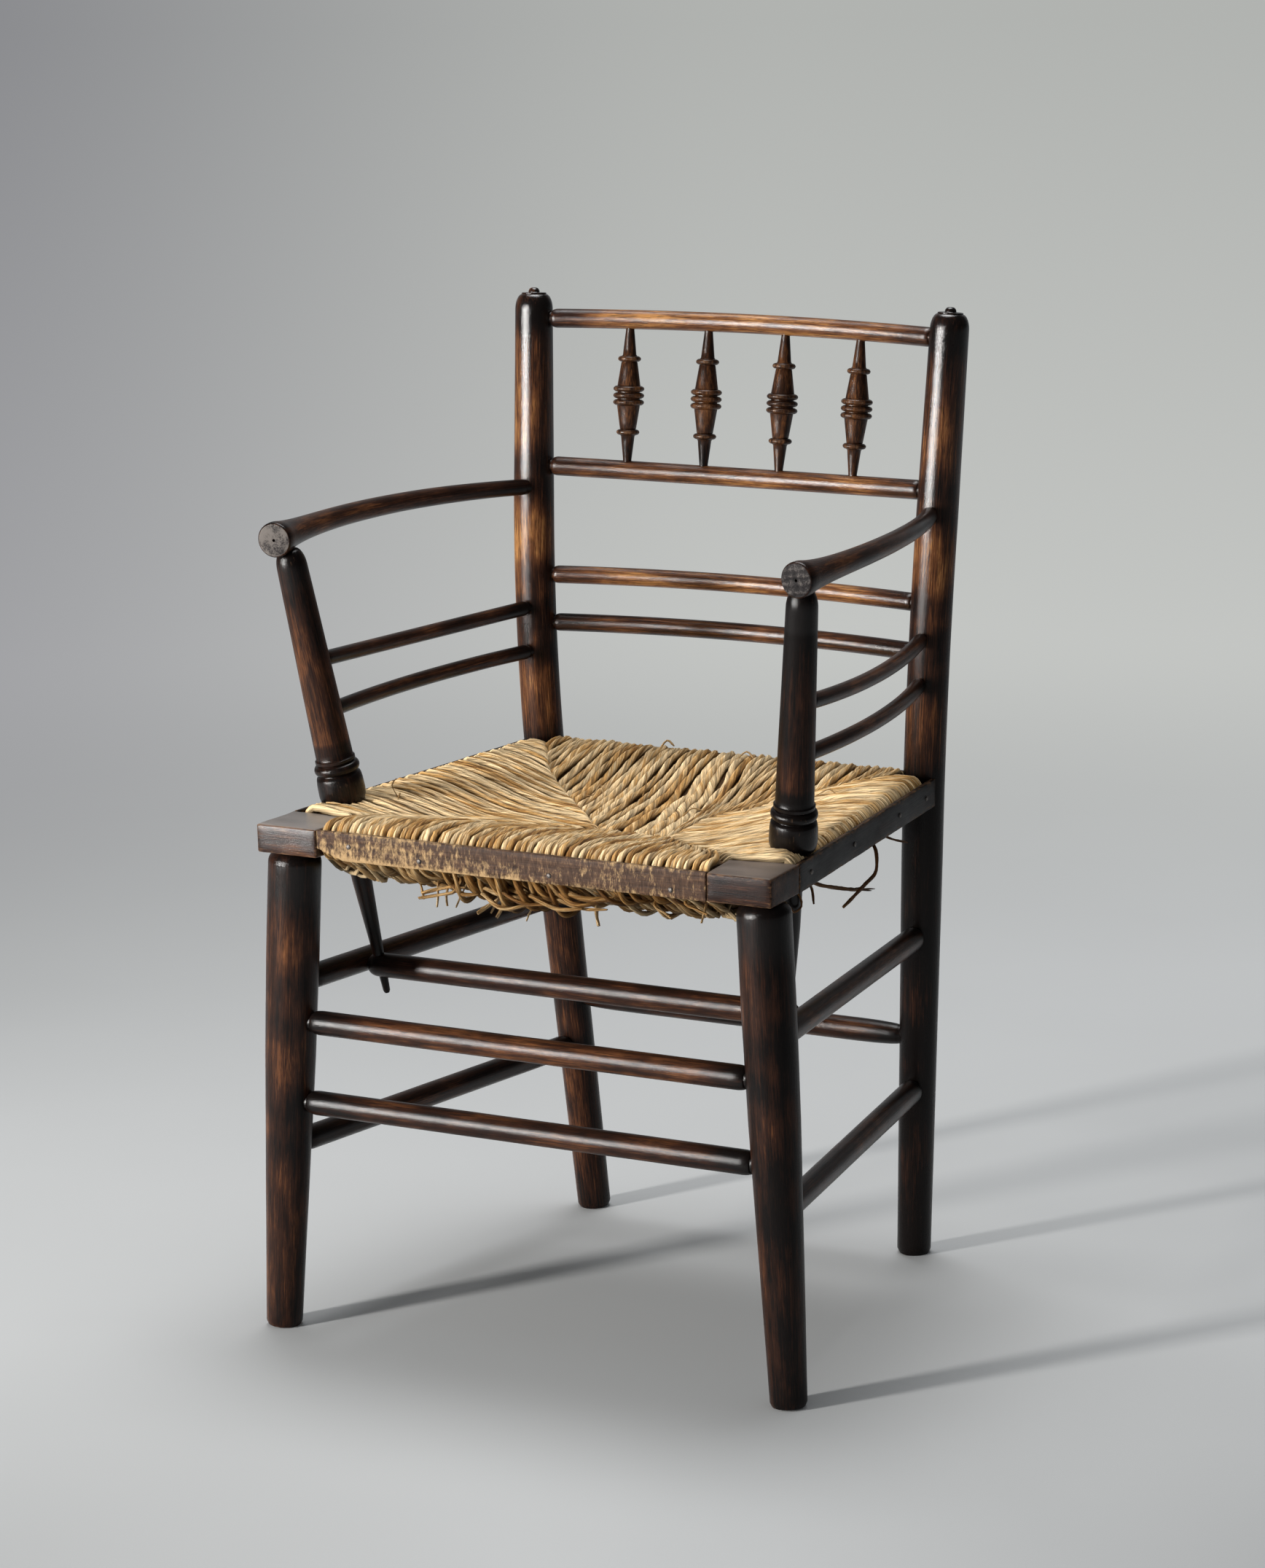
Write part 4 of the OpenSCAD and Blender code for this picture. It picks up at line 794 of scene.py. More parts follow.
for side, turn, wood_here, warm in (("left", lambda o: o, block_wood, 0.32),
                                    ("right", mirror_outline, block_pale, 0.5)):
    board("corner_block_" + side, turn(block), FRAME_Z, SEAT_Z, (BLOCK_W, BLOCK_D, FRAME_H),
          "front_seat_rail", wood_here, 1.6, 5.0, 0, 0.5, warm)
    board("side_strip_" + side, turn(side_strip), FRAME_Z, SEAT_Z,
          (STRIP, STRIP_REAR_Y - y0, FRAME_H), "side_edge_strip_" + side, strip_wood,
          0.9, 5.0, 1, 0.35, 0.3)


def broken_corner(points, half):
    """Breaks away the lower corner at the strip's -X end."""
    out = points.copy()
    for p in out:
        x, z = p[0] + half[0], p[2] + half[2]
        edge = 9.5 * (1 - x / 27) if x < 27 else 0
        edge += 1.3 * ripple(x * 0.35, 2.0, 0.0) if edge > 0 else 0
        if z < edge:
            p[2] = edge - half[2] + 0.3 * ripple(x, p[1], z)
    return out


def strip_warmth(share):
    """Barer to the -X end, and along the lower edge."""
    x, z = share[:, 0], share[:, 2]
    foot = 0.34 * np.clip((0.22 - z) / 0.14, 0, 1) * (1 - x)
    top = 0.16 * np.clip((z - 0.66) / 0.1, 0, 1) * (x < 0.75)
    return (np.interp(x, [0, 0.4, 0.55, 1], [0.42, 0.4, 0.22, 0.12])
            + 0.06 * np.sin(9 * x + 1) + foot - top)


half = FRONT_HALF - BLOCK_W - 0.2
board("front_strip", oblong(half, FRONT_Y, FRONT_Y + STRIP), FRAME_Z, SEAT_Z,
      (2 * half, STRIP, FRAME_H), "front_edge_strip", worn_wood, 0.9, 3.0, 0, 0.6,
      strip_warmth, broken_corner)
half = post_axis(RAIL_MID_Z)[0] - 14
board("rear_strip", oblong(half, BACK_FACE_Y - STRIP, BACK_FACE_Y), FRAME_Z, SEAT_Z,
      (2 * half, STRIP, FRAME_H), "rear_edge_strip", strip_wood, 0.9, 5.0, 0, 0.35,
      0.3)
CORE_HALF, CORE_INSET = 187.0, 4.25
board("front_rail_core", oblong(CORE_HALF, FRONT_Y + 11, FRONT_Y + 37), FRAME_Z + CORE_INSET,
      SEAT_Z - CORE_INSET, (2 * CORE_HALF, 26, 16), "front_seat_rail", block_wood,
      2.0, 12.0, 0, 0.4, 0.2)
# These rails are inside the rush, so the solids themselves stay
for name in ("side_seat_rail_left", "side_seat_rail_right", "rear_seat_rail"):
    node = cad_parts[name]
    node.data.materials.clear()
    node.data.materials.append(block_wood)


# nails

NAIL_HEAD, AROUND, RAIL_H = 2.25, 14, 16
NAIL_RINGS = [(-1.1, 0.3), (-1.02, 1.1), (-0.82, 1.7), (-0.45, 2.1), (-0.1, NAIL_HEAD),
              (0.0, NAIL_HEAD - 0.1), (0.1, 0.8), (16.0, 0.6)]
inward = unit(vec(BLOCK_REAR_Y - STRIP_REAR_Y, REAR_HALF - SHOULDER_HALF, 0))
places = [(vec(x * (FRONT_HALF - BLOCK_W), FRONT_Y, RAIL_MID_Z + rise * RAIL_H), vec(0, 1, 0))
          for x, rise in zip((-0.825, -0.455, 0.215, 0.825), (0.05, -0.3, -0.3, -0.33))]
places += [(vec(x * post_axis(RAIL_MID_Z)[0], BACK_FACE_Y, RAIL_MID_Z), vec(0, -1, 0))
           for x in (-0.745, -0.275, 0.24, 0.725)]
for share in (0.08, 0.385, 0.72, 0.925):
    y = mix(BLOCK_REAR_Y, STRIP_REAR_Y, share)
    p = vec(side_face(y), y, RAIL_MID_Z)
    places += [(p, inward), (flip(p), flip(inward))]

verts, faces = [], []
for p, way in places:
    path = Straight(p, p + way)
    v = np.cross(path.t, path.u)
    tip, first = uniform(-0.12, 0.12), len(verts)
    for s, r in NAIL_RINGS:
        for j in range(AROUND):
            c, n = cos(2 * pi * j / AROUND), sin(2 * pi * j / AROUND)
            rough = 1 + 0.05 * ripple(p[0] + c, s, n)
            sink = tip * r * c if s < 0 else 0
            verts.append(path.at(s + sink)[0] + (path.u * c + v * n) * r * rough)
    faces += ring_faces(len(NAIL_RINGS), AROUND, first)
    faces.append(tuple(reversed(range(first, first + AROUND))))
    faces.append(tuple(range(len(verts) - AROUND, len(verts))))
finish_mesh("nails", verts, faces, nail_iron, "strip_nails",
            {"grain": np.array(verts) * MM})


# rush seat

RUSH_GAP = 0.3
EDGE_FRONT = FRONT_Y + STRIP + RUSH_GAP
EDGE_REAR = BACK_FACE_Y - STRIP - RUSH_GAP
CROWN, DIP, BORDER, HEM, BELLY = 5.0, 14.0, 46.0, 3.0, 28.0


def edge_half(y):
    return side_face(y) - STRIP - RUSH_GAP


def inset(x, y):
    """How far a plan point lies in from the edge of the rush."""
    return min(y - EDGE_FRONT, EDGE_REAR - y, edge_half(y) - abs(x))


def top_z(d):
    rise = (CROWN + 1) * sin(pi / 2 * min(1, max(0, d / (BORDER / 3))))
    return SEAT_Z - 1 + rise - DIP * smooth((d - BORDER / 2) / (2.6 * BORDER))


def low_z(d):
    fall = (HEM + 1) * sin(pi / 2 * min(1, max(0, d / (BORDER / 3))))
    return FRAME_Z + 1 - fall - (BELLY - HEM) * smooth((d - RUSH_SIDE) / (1.2 * BORDER))


class Strands:
    """Collects tubes of twisted rush in one mesh. Each tube is two leaves laid round each
    other: its ring turns with the twist, so the two creases run as helices."""

    def __init__(self):
        self.verts, self.faces, self.fibre, self.tone, self.shade = [], [], [], [], []
        self.count = 0

    def tube(self, points, widths, heights, tone, pitch, crease, painted_shades, ups=None, sides=12,
             painted_under_shade=0.7):
        points = np.array(points, float)
        n = len(points)
        run = np.concatenate([[0], np.cumsum(norm(np.diff(points, axis=0), axis=1))])
        tangents = np.gradient(points, axis=0)
        tangents /= norm(tangents, axis=1)[:, None]
        if ups is None:
            ups = [vec(0, 0, 1) if abs(tangents[0][2]) < 0.8 else vec(1, 0, 0)]
            for t in tangents[1:]:
                u = ups[-1] - t * (t @ ups[-1])
                ups.append(unit(u) if norm(u) > 0.05 else ups[-1])
        side = np.cross(tangents, np.array(ups))
        side /= norm(side, axis=1)[:, None]
        over = np.cross(side, tangents)
        ring = 2 * pi * np.arange(sides) / sides
        ply = 1 - crease * np.exp(-(np.cos(ring) / 0.3) ** 2)
        seed = uniform(-40, 40)
        turn = 2 * pi * run / pitch + uniform(0, 6.3)
        a = ring[None, :] + turn[:, None]
        c, d = np.cos(a) * ply, np.sin(a) * ply
        verts = (points[:, None] + side[:, None] * (c * np.array(widths)[:, None])[..., None]
                 + over[:, None] * (d * np.array(heights)[:, None])[..., None])
        fibre = np.stack(np.broadcast_arrays(4 * np.cos(ring)[None] + seed,
                                             4 * np.sin(ring)[None] + seed,
                                             run[:, None] + seed), axis=-1)
        # Painted shade for the shade field: darker on the sides and underside of the strand and in
        # its creases, and never lighter than the shade given for each ring
        dark = np.clip(painted_under_shade * (0.6 - np.sin(a)), 0, painted_under_shade)
        dark = np.maximum(dark, (1 - ply) / max(crease, 0.01) * 0.5)
        dark = np.clip(np.maximum(dark, np.array(painted_shades, float)[:, None]), 0, 0.92)
        last = self.count + (n - 1) * sides
        self.faces += [face[:1] + face[:0:-1] for face in ring_faces(n, sides, self.count)]
        self.faces.append(list(range(self.count, self.count + sides)))
        self.faces.append(list(range(last + sides - 1, last - 1, -1)))
        self.verts.append(verts.reshape(-1, 3))
        self.fibre.append(fibre.reshape(-1, 3))
        self.tone.append(np.full(n * sides, tone))
        self.shade.append(dark.ravel())
        self.count += n * sides

    def make(self, name, material):
        verts, fibre, tone, shade = map(np.concatenate,
                                        (self.verts, self.fibre, self.tone, self.shade))
        finish_mesh(name, verts, self.faces, material, "rush_seat",
                    {"fibre": fibre * MM, "tone": tone, "shade": shade}, 80)


WRAP_D, WRAP_MID, WRAP_R = 13.0, (SEAT_Z + FRAME_Z) / 2, 3.1
# Shares of a panel's strands between which they end on the ridge, underneath
UNDER_CUTS = 0.44, 0.56
# The underneath strands' lowest height, and where the side panels start and end
UNDER_LOW = 386.0
SIDE_FRONT_Y, SIDE_REAR_Y = -168.0, 156.0


def along_line(points, share):
    steps = [norm(b - a) for a, b in zip(points, points[1:])]
    want = share * sum(steps)
    for a, b, d in zip(points, points[1:], steps):
        if want <= d:
            return mix(a, b, want / d)
        want -= d
    return points[-1].copy()


class Panel:
    """One of the four woven panels: where each strand starts at its rail and ends inside."""

    def __init__(self, rail, way, count, over, under, cuts, sweep, ease=0.5, loose=1.0):
        self.rail, self.way, self.count, self.loose, self.sweep = rail, way, count, loose, sweep
        self.over, self.under, self.cuts, self.ease = over, under, cuts, ease
        self.across = vec(-way[1], way[0])

    def inner(self, share, beneath):
        """Where a strand ends: on the first line, then the ridge, then the last line."""
        first, ridge, last = self.under if beneath else self.over
        cut0, cut1 = UNDER_CUTS if beneath else self.cuts
        share = min(1.0, max(0.0, share))
        if share < cut0:
            return along_line(first, share / cut0)
        if share < cut1:
            return along_line(ridge, (share - cut0) / (cut1 - cut0))
        return along_line(last[::-1], (share - cut1) / (1 - cut1))

    def depth(self, share, beneath):
        return max(14.0, float((self.inner(share, beneath) - self.rail(share)) @ self.way))

    def plan(self, share, t, beneath):
        """Point in plan at share t of the way from the rail to the inner end."""
        rail = self.rail(share)
        span = self.inner(share, beneath) - rail
        bend = mix(t, smooth(t), self.ease)
        depth = self.depth(share, beneath)
        spot = rail + self.way * depth * t + self.across * (span @ self.across) * bend
        cut0, cut1 = self.cuts
        if self.sweep and not beneath and t > 0.5 and not cut0 < share < cut1:
            turn = 1 if share <= cut0 else -1
            ahead = self.inner(share + 0.03 * turn, False) - self.inner(share, False)
            if norm(ahead) > 0.1:
                room = min(1.0, abs(share - (cut0 if turn > 0 else cut1)) / 0.08)
                swing = smooth((t - 0.5) / 0.6) ** 1.5
                spot = spot + unit(ahead) * self.sweep * room * swing
        return spot

    def half_width(self, share, t, beneath):
        """Half the distance to the neighbouring strands."""
        step = 0.5 / self.count
        gap = self.plan(share + step, t, beneath) - self.plan(share - step, t, beneath)
        ahead = self.plan(share, t + 0.02, beneath) - self.plan(share, t - 0.02, beneath)
        ahead /= norm(ahead)
        return norm(gap - ahead * (gap @ ahead)) / 2


def strand(panel, strands, k, tone, pitch, crease, full, stray):
    """One strand: from its inner end over the rail and back underneath."""
    share = (k + 0.5 + uniform(-0.16, 0.16)) / panel.count
    seed, lift, over_end = uniform(0, 90), uniform(-0.7, 1.2), uniform(3, 9)
    fat = full * uniform(0.76, 1.16)
    way, across = panel.way, panel.across
    rows = []

    def put(p, z, up, shade, half, height):
        rows.append((vec(p[0], p[1], z), up, shade, half, height))

    depth = panel.depth(share, False)
    count = max(6, int(depth / 2.7))
    for i in range(count + 1):
        t = mix(1 + over_end / depth, WRAP_D / depth, i / count)
        run = t * depth
        wander = stray * ripple(seed, run * 0.017, 0) * min(1, run / 50)
        p = panel.plan(share, t, False) + across * wander
        half = panel.half_width(share, min(t, 0.97), False)
        half = max(1.4, half * fat * (1 + 0.18 * ripple(seed, run * 0.04, 7)
                                     + 0.12 * ripple(seed, run * 0.17, 4)))
        height = min(3.6, 1.5 + 0.75 * half) * (1 + 0.12 * ripple(seed, run * 0.05, 3))
        hide = smooth((run - depth + 5) / (over_end + 5))
        sway = ripple(seed, run * 0.03, 5)
        # Where the strand dives in under its neighbours it sinks and gets painted shade
        put(p, top_z(max(0.5, inset(*p))) - height + 0.3 + lift + sway - 10 * hide,
            vec(0, 0, 1), 0.85 * hide, half, height)
    half = panel.half_width(share, 0.1, False) * fat
    z_top, z_low = top_z(WRAP_D) - WRAP_R + lift, low_z(WRAP_D) + WRAP_R
    for i in range(1, 12):
        a = pi / 2 - pi * i / 12
        z = WRAP_MID + ((z_top - WRAP_MID) if a > 0 else (WRAP_MID - z_low)) * sin(a)
        put(panel.rail(share) + way * (WRAP_D - (WRAP_D - 3.4) * cos(a)), z,
            unit(vec(*(-way * cos(a)), sin(a))), 0.0, min(half, 4.3), 3.3)
    depth = panel.depth(share, True)
    count = max(3, int(depth / 6.0))
    thin = uniform(0.6, 0.95)
    for i in range(count + 1):
        t = mix(WRAP_D / depth, 1 + 6 / depth, i / count)
        run = t * depth
        ease = min(1, run / 50) * panel.loose
        p = panel.plan(share, t, True) + across * 5 * ease * ripple(seed, run * 0.02, 2)
        half = max(1.6, panel.half_width(share, min(t, 0.97), True) * thin)
        sag = 7.0 * ease * (ripple(seed * 3.1, run * 0.016, 9) - 0.25)
        hide = smooth((t - 0.92) / 0.12)
        # Underneath the seat the strand gets painted shade, deeper where it dives in
        put(p, max(low_z(max(0.5, inset(*p))) + 3.0 + sag + 8 * hide, UNDER_LOW), vec(0, 0, -1),
            0.45 + 0.3 * hide, half, min(3.2, 1.2 + 0.6 * half))
    points, ups, painted_shades, widths, heights = zip(*rows)
    strands.tube(points, widths, heights, tone, pitch * uniform(0.8, 1.25), crease, painted_shades,
                 ups)


def weave(name, panel, material, tone, *looks):
    strands = Strands()
    for k in range(panel.count):
        shade = min(0.95, max(0.0, tone + rng.gauss(0, 0.22)))
        strand(panel, strands, k, shade, *looks)
    strands.make(name, material)


def end_rail(half, y):
    return lambda share: vec(mix(-half, half, share), y)


def side_rail(sign):
    def place(share):
        y = mix(SIDE_FRONT_Y, SIDE_REAR_Y, share)
        return vec(sign * edge_half(y), y)
    return place


# Plan of the lines where the four panels meet. A is the -X side, B is the +X side.
FRONT_A, FRONT_B, REAR_A, REAR_B = vec(-181, -182), vec(181, -182), vec(-171, 152), vec(171, 152)
APEX_A, APEX_B, UNDER_A, UNDER_B = vec(11, -88), vec(75, -86), vec(-20, -60), vec(45, -60)
LINE_FA = [FRONT_A, vec(-146, -155), vec(-96, -121), vec(-45, -100), APEX_A]
LINE_FB = [FRONT_B, vec(126, -136), APEX_B]
LINE_RA = [REAR_A, vec(-129, 78), vec(-79, 22), vec(-36, -29), APEX_A]
LINE_RB = [vec(173, 152), vec(129, 81), vec(103, 40), vec(72, -8), APEX_B]
# The side panels meet a point, as a ridge of next to no length
TIP_A, TIP_B, TIP_UA, TIP_UB = [[p, p + vec(0, 0.5)] for p in (APEX_A, APEX_B, UNDER_A, UNDER_B)]
RIDGE, U_RIDGE = [APEX_A, APEX_B], [UNDER_A, UNDER_B]
U_FA, U_FB, U_RA, U_RB = ([FRONT_A, UNDER_A], [FRONT_B, UNDER_B], [REAR_A, UNDER_A],
                          [REAR_B, UNDER_B])

FRONT = Panel(end_rail(180.5, EDGE_FRONT), vec(0, 1), 60, (LINE_FA, RIDGE, LINE_FB),
              (U_FA, U_RIDGE, U_FB), (0.56, 0.71), 24.0, loose=1.3)
BACK = Panel(end_rail(171.0, EDGE_REAR), vec(0, -1), 46, (LINE_RA, RIDGE, LINE_RB),
             (U_RA, U_RIDGE, U_RB), (0.42, 0.55), 9.0)
LEFT = Panel(side_rail(1), vec(-1, 0), 52, (LINE_FB, TIP_B, LINE_RB), (U_FB, TIP_UB, U_RB),
             (0.46, 0.48), 4.0, 0.1)
RIGHT = Panel(side_rail(-1), vec(1, 0), 52, (LINE_FA, TIP_A, LINE_RA), (U_FA, TIP_UA, U_RA),
              (0.5, 0.52), 4.0, 0.1)
# Tone, and then each strand's pitch of twist, crease, fullness and stray
weave("rush_front", FRONT, rush_brown, 0.5, 80.0, 0.18, 0.92, 2.6)
weave("rush_back", BACK, rush_brown, 0.52, 85.0, 0.2, 0.88, 4.6)
weave("rush_left", LEFT, rush_pale, 0.38, 110.0, 0.3, 0.75, 1.8)
weave("rush_right", RIGHT, rush_pale, 0.38, 110.0, 0.3, 0.75, 1.8)


# Loose rush: hanging loops, broken ends and straws

loose = Strands()


def curve(points, spacing=3.0):
    """Smooth run of points through the given ones."""
    points = [np.array(p, float) for p in points]
    points = [2 * points[0] - points[1]] + points + [2 * points[-1] - points[-2]]
    made = []
    for a, b, c, d in zip(points, points[1:], points[2:], points[3:]):
        steps = max(2, int(norm(c - b) / spacing))
        for i in range(steps):
            t = i / steps
            made.append(0.5 * (2 * b + (c - a) * t + (2 * a - 5 * b + 4 * c - d) * t ** 2
                               + (3 * b - a - 3 * c + d) * t ** 3))
    return made + [points[-2]]


def stalk(points, radius, tone, flat=0.6, taper=0.5, painted_shade_behind=0.0):
    """Loose strand through the points. The last argument sets painted shade on what lies in behind
    the front strip, and deepens the painted shade on the strand's underside.
    """
    path = curve(points)
    t = np.linspace(0, 1, len(path))
    wide = radius * (1 - taper * np.clip((t - 0.75) / 0.25, 0, 1) ** 2)
    inside = (np.array(path)[:, 1] - EDGE_FRONT - 6) / 40
    loose.tube(path, wide, wide * flat, tone, uniform(45, 90), 0.18,
               np.clip(inside, 0, 0.8) * painted_shade_behind, sides=8, painted_under_shade=mix(0.25, 0.6, painted_shade_behind))


def belly(x):
    """How far the hanging rush sags across the front: most near the middle."""
    return exp(-((x + 10) / 90) ** 2)


LOW, HANGING, SHORT = 379.0, 70, 14
for i in range(HANGING):
    x = mix(-174, 168, (i + 0.5) / HANGING) + uniform(-4, 4)
    y = uniform(-215, -192)
    sag = uniform(0.4, 1.0) * mix(6, 36, belly(x))
    reach, drift = uniform(24, 60), uniform(2, 30)
    hang = max(LOW + uniform(2, 6), FRAME_Z - 4 - sag)
    ends = mix(hang, FRAME_Z - 8, uniform(0.1, 0.5))
    stalk([(x, y - 2, FRAME_Z + 2), (x + drift * 0.3, y + reach * 0.15, mix(FRAME_Z, hang, 0.7)),
           (x + drift * 0.6, y + reach * 0.5, hang), (x + drift, y + reach, ends),
           (x + drift * 1.2, y + reach + 14, FRAME_Z - 6)], uniform(2.5, 4.1),
          mix(0.75, 0.1, (x + 174) / 342) + uniform(-0.15, 0.3), 0.7, painted_shade_behind=1.0)
for i in range(SHORT):
    x, y = uniform(-90, 130), uniform(-208, -190)
    z = FRAME_Z - 4 - mix(6, 30, belly(x)) * uniform(0.5, 1)
    dx, lift = uniform(16, 30), uniform(4, 12)
    stalk([(x - dx, y + 4, z + lift), (x, y, max(LOW + 3, z)),
           (x + dx, y + uniform(-2, 10), z + lift * uniform(-0.2, 0.6))],
          uniform(2.2, 3.4), uniform(0.3, 0.8), 0.6, painted_shade_behind=0.7)

# Broken ends under the front: foot, tip and radius
for foot, tip, r in [
        ((-98, -200, 409), (-92, -204, 391), 1.8), ((-62, -196, 405), (-94, -204, 396), 3.4),
        ((-66, -198, 399), (-96, -206, 392), 2.6), ((-82, -198, 403), (-81, -202, 385), 1.5),
        ((-72, -198, 403), (-71, -202, 387), 1.7), ((-58, -192, 405), (-64, -200, 386), 1.3),
        ((-34, -182, 392), (-46, -196, 382), 2.6), ((-28, -184, 394), (-30, -192, 379), 2.2),
        ((54, -172, 397), (58, -178, 378), 2.8), ((165, -192, 412), (161, -194, 395), 2.0),
        ((6, -184, 396), (-2, -192, 379), 1.2), ((-38, -178, 396), (-40, -184, 380), 1.8),
        ((120, -196, 405), (138, -202, 398), 2.2), ((150, -200, 411), (172, -204, 405), 2.4)]:
    foot, tip = vec(*foot), vec(*tip)
    middle = mix(foot, tip, 0.5) + vec(uniform(-2, 2), uniform(-1, 1), 0)
    stalk([foot + vec(0, 3, 9), foot, middle, tip], r, uniform(0.6, 0.95), 0.45, 0.15)

# Broken strand with its frayed end, bent stem and curl under the left side rail
stalk([(196, -86, 416), (203, -70, 405), (205, -50, 398), (205, -14, 388), (205, 14, 381)], 2.9,
      0.0)
for dx, dz in ((-2, 2), (1, -1), (2.5, 1), (0, 0)):
    stalk([(205, -4, 386), (205 + dx * 0.6, 12, 382 + dz * 0.5), (205 + dx * 2, 30, 378 + dz)],
          1.2, 0.0, 0.6, 0.6)
for points, *looks in [
        ([(203, 38, 418), (210, 32, 412), (212, 30, 402), (212, 26, 393), (212, 6, 388),
          (212, -22, 381), (212, -36, 378)], 1.7, 0.05, 0.8, 0.3),
        ([(200, 68, 416), (205, 78, 411), (207, 100, 404)], 1.8, 0.1, 0.6, 0.2),
        ([(214, -132, 416), (217, -127, 407), (217, -125, 399), (215, -134, 396),
          (214, -139, 401)], 1.2, 0.1, 0.8, 0.3),
        ([(214, -106, 416), (216, -103, 408), (217, -102, 396)], 1.5, 0.1, 0.7, 0.2)]:
    stalk(points, *looks)

# Straws standing on the top
for points, r in [([(-12, 34, 438), (-10, 37, 449), (-12, 40, 458)], 0.9),
                  ([(-48, -2, 442), (-38, -7, 445), (-47, 22, 447), (-36, 8, 441)], 0.7),
                  ([(-176, -100, 447), (-184, -98, 458), (-183, -92, 463)], 0.6),
                  ([(-180, -92, 449), (-174, -102, 453), (-170, -112, 450)], 0.6),
                  ([(-66, 168, 448), (-60, 172, 456), (-52, 170, 452)], 1.1),
                  ([(60, -30, 440), (66, -24, 446), (76, -22, 444)], 0.8),
                  ([(20, 150, 450), (26, 158, 456), (34, 156, 451)], 1.0),
                  ([(140, 60, 446), (150, 66, 452), (160, 62, 449)], 0.7)]:
    stalk(points, r, 0.75, 0.7, 0.4)
loose.make("rush_loose", rush_old)


# Packing inside the weave. Its shade field paints it near black, as painted shade in the gaps
# between strands.
COLUMNS, ROWS, PACK_INSET, PACK_DEPTH = 26, 24, 5, 6.5
PACK_FRONT_HALF, PACK_REAR_HALF, PACK_REAR_Y = 176.0, 166.0, 154
verts, faces = [], []
for top in (True, False):
    for j in range(ROWS + 1):
        y = mix(EDGE_FRONT + PACK_INSET, EDGE_REAR - PACK_INSET,
                (1 - cos(pi * j / ROWS)) / 2)
        limit = edge_half(y) - PACK_INSET
        if y < BLOCK_REAR_Y + 4:
            limit = min(limit, PACK_FRONT_HALF)
        if y > PACK_REAR_Y:
            limit = min(limit, PACK_REAR_HALF)
        for i in range(COLUMNS + 1):
            x = mix(-1, 1, (1 - cos(pi * i / COLUMNS)) / 2) * limit
            d = inset(x, y)
            verts.append(vec(x, y, top_z(d) - PACK_DEPTH if top else low_z(d) + PACK_DEPTH))
row = COLUMNS + 1
lower = row * (ROWS + 1)
for j in range(ROWS):
    for i in range(COLUMNS):
        a = j * row + i
        b = a + row
        faces += [(a, a + 1, b + 1, b), (lower + a, lower + b, lower + b + 1, lower + a + 1)]
rim = ([i for i in range(COLUMNS)] + [j * row + COLUMNS for j in range(ROWS)]
       + [ROWS * row + i for i in range(COLUMNS, 0, -1)] + [j * row for j in range(ROWS, 0, -1)])
for a, b in zip(rim, rim[1:] + rim[:1]):
    faces.append((b, a, lower + a, lower + b))
finish_mesh("rush_packing", verts, faces, rush_brown, "rush_seat", {
    "fibre": np.array(verts) * MM, "tone": np.full(len(verts), 0.1),
    "shade": np.full(len(verts), 0.8)}, 60)


# camera: angles in radians, and the photograph's focal length, size and centre in pixels

AZ, EL, ROLL = 0.4903, 0.2236, -0.0141
TARGET = vec(7.18, -20.53, 428.28)
DISTANCE, FOCAL = 4110.57, 6637.15
WIDTH, LENGTH = 1736, 2151
CX, CY = 868.69, 1127.10
SENSOR = 36

right = vec(cos(AZ), sin(AZ), 0)
back = vec(sin(AZ) * cos(EL), -cos(AZ) * cos(EL), sin(EL))
up = np.cross(back, right)
cam_x = right * cos(ROLL) + up * sin(ROLL)
cam_y = -right * sin(ROLL) + up * cos(ROLL)
eye = TARGET + back * DISTANCE

camera_data = bpy.data.cameras.new("camera")
camera = bpy.data.objects.new("camera", camera_data)
bpy.context.scene.collection.objects.link(camera)
camera.matrix_world = Matrix([[cam_x[i], cam_y[i], back[i], eye[i] * MM] for i in range(3)]
                             + [[0, 0, 0, 1]])
camera_data.sensor_width = SENSOR
camera_data.lens = FOCAL / LENGTH * SENSOR
camera_data.shift_x = -(CX - WIDTH / 2) / LENGTH
camera_data.shift_y = (CY - LENGTH / 2) / LENGTH
camera_data.clip_start, camera_data.clip_end = 0.1, 200
bpy.context.scene.camera = camera


# floor, world and lights, in metres

# The level way behind the chair in the photograph. It is fixed, whatever the view.
BEHIND = (-sin(AZ), cos(AZ), 0.0)
FAR_COLOUR = (0.43, 0.44, 0.43)


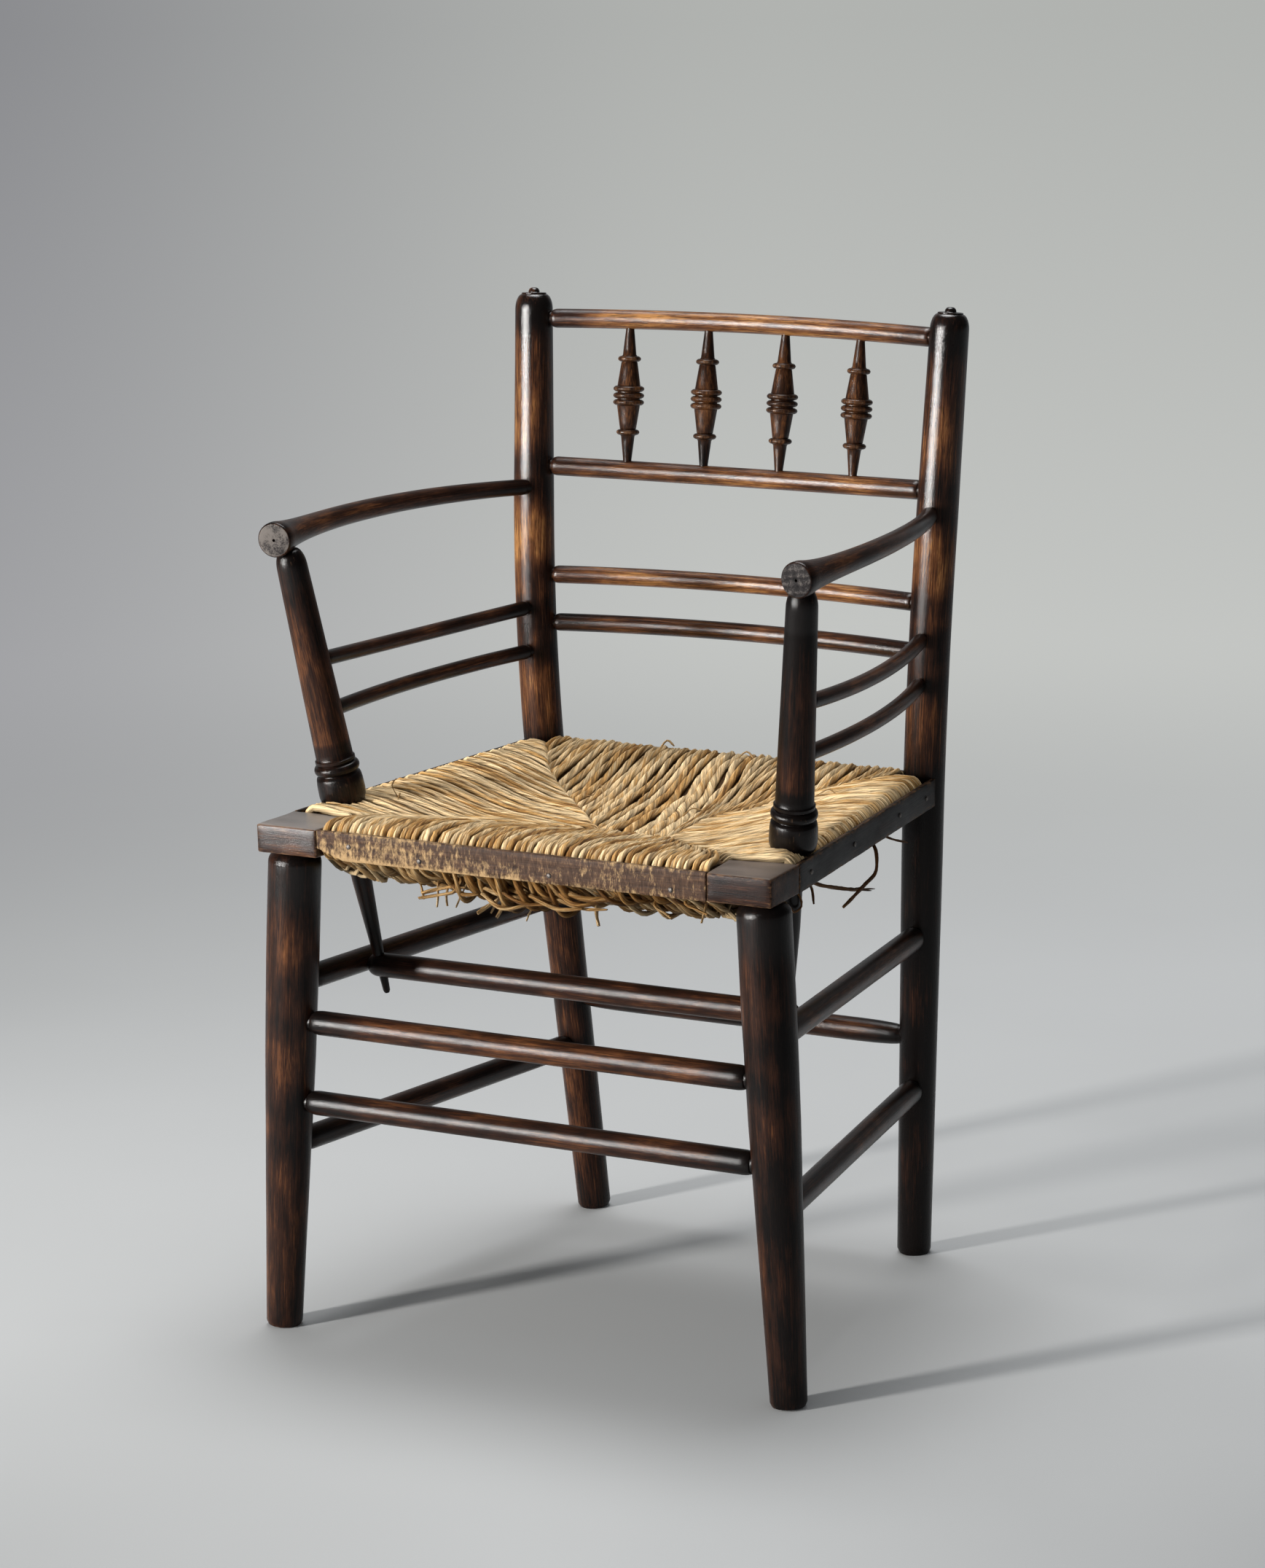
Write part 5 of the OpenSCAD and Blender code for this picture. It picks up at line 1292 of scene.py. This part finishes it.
def make_floor():
    """Pale disc. Near the chair its colour carries painted shade, darker at the rear corners and
    to one side further back. Away from the chair the camera sees a painted glow in place of
    its shading: a backdrop colour with painted shade, darker to one side and further off,
    which fades to the world's colour far off."""
    mesh = bpy.data.meshes.new("floor")
    around, rings = 96, (0.6, 1.2, 2.4, 5, 12, 28, 60.0)
    verts = [(0, 0, 0)] + [(r * cos(2 * pi * i / around),
                            r * sin(2 * pi * i / around), 0)
                           for r in rings for i in range(around)]
    faces = [(0, 1 + i, 1 + (i + 1) % around) for i in range(around)]
    faces += [face[::-1] for face in ring_faces(len(rings), around, 1)]
    mesh.from_pydata(verts, [], faces)
    n = Nodes("floor")
    place = n.add("NewGeometry").outputs["Position"]
    parts = n.add("SeparateXYZ", {0: place}).outputs

    def toward(way):
        return n.madd(parts[0], float(way[0]), n.times(parts[1], float(way[1])))

    rear, aside = toward(BEHIND), toward(right)
    # Painted shade: the colour is darker at the rear corners, and further back it is darker to one
    # side and lighter to the other
    painted_corner_shade = n.times(n.span(rear, -0.1, -0.7), n.span(n.math("ABSOLUTE", aside), 0.1, 0.5))
    lean = n.times(n.span(rear, 0.4, 1.1), n.span(aside, -0.8, 0.8, -0.07, 0.07))
    mottle = n.add_up(n.noise(place, 900, detail=2, rough=0.5),
                      n.noise(place, 2.2, detail=3, rough=0.5))
    albedo_with_painted_shade = n.madd(painted_corner_shade, -0.08, n.add_up(n.madd(mottle, 0.03, 0.4), lean))
    diffuse = n.add("BsdfDiffuse", {"Color": n.rgb(n.times(albedo_with_painted_shade, 0.99), albedo_with_painted_shade, albedo_with_painted_shade)})

    # Painted glow: away from the chair camera rays see an emitted backdrop colour, with painted
    # shade darker to one side and further off, fading to the world's colour
    distance = n.add("VectorMath", {0: place}, operation="LENGTH").outputs["Value"]
    nearness = n.math("DIVIDE", 1.0, n.add_up(n.math("ABSOLUTE", rear), 4.0))
    across = n.span(n.times(aside, nearness), -0.17, 0.04, interpolation_type="SMOOTHSTEP")
    shade = n.blend(across, (0.24, 0.242, 0.258), (0.44, 0.452, 0.436))
    climb = n.span(nearness, 0.045, 0.18, 0.0, 0.15)
    backdrop = n.blend(1.0, shade, n.rgb(climb, climb, climb), "ADD")
    haze = n.span(n.math("DIVIDE", 1.0, distance), 1 / 22, 1 / 50)
    glow = n.add("Emission", {"Color": n.blend(haze, backdrop, FAR_COLOUR), "Strength": 1.0})
    factor = n.times(n.span(distance, 1.0, 3.2, interpolation_type="SMOOTHSTEP"),
                     n.add("LightPath").outputs["Is Camera Ray"])
    mesh.materials.append(n.finish(n.add("MixShader", {0: factor, 1: diffuse.outputs[0],
                                                       2: glow.outputs[0]})))
    floor = bpy.data.objects.new("floor", mesh)
    bpy.context.scene.collection.objects.link(floor)


def make_world():
    """Pale to the camera and weaker as ambient light. In reflections it is dark, except in
    the way behind the chair."""
    n = Nodes("studio", "worlds")
    ray = n.add("LightPath").outputs

    def glow(colour, strength):
        return n.add("Background", {0: (*colour, 1), 1: strength}).outputs[0]

    toward = n.add("VectorMath", {0: n.add("TexCoord").outputs["Generated"], 1: BEHIND},
                   operation="DOT_PRODUCT").outputs["Value"]
    strength = n.span(toward, 0.6, 0.95, 0.03, 0.3, interpolation_type="SMOOTHSTEP")
    unseen = n.add("MixShader", {0: ray["Is Glossy Ray"], 1: glow((0.93, 0.97, 1.0), 0.34),
                                 2: glow((0.95, 0.98, 1.0), strength)}).outputs[0]
    bpy.context.scene.world = n.finish(n.add("MixShader", {
        0: ray["Is Camera Ray"], 1: unseen, 2: glow(FAR_COLOUR, 1.0)}))


def softbox(name, direction, distance, width, height, power, colour):
    """Rectangular lamp that looks at the chair's middle; direction points towards the lamp."""
    data = bpy.data.lights.new(name, "AREA")
    data.shape, data.size, data.size_y = "RECTANGLE", width, height
    data.energy, data.color = power, colour
    lamp = bpy.data.objects.new(name, data)
    bpy.context.scene.collection.objects.link(lamp)
    way = Vector(unit(np.array(direction, float)))
    lamp.location = Vector((0, 0, 0.45)) + way * distance
    lamp.rotation_mode = "QUATERNION"
    lamp.rotation_quaternion = way.to_track_quat("Z", "Y")


make_floor()
make_world()
softbox("key_light", (-0.53, -0.85, 0.13), 4.2, 0.36, 1.8, 320, (1.0, 0.985, 0.96))
softbox("top_light", (-0.1, 0.2, 1.0), 2.5, 1.2, 1.2, 62, (0.98, 0.99, 1.0))

bpy.context.scene.view_settings.view_transform = "Standard"
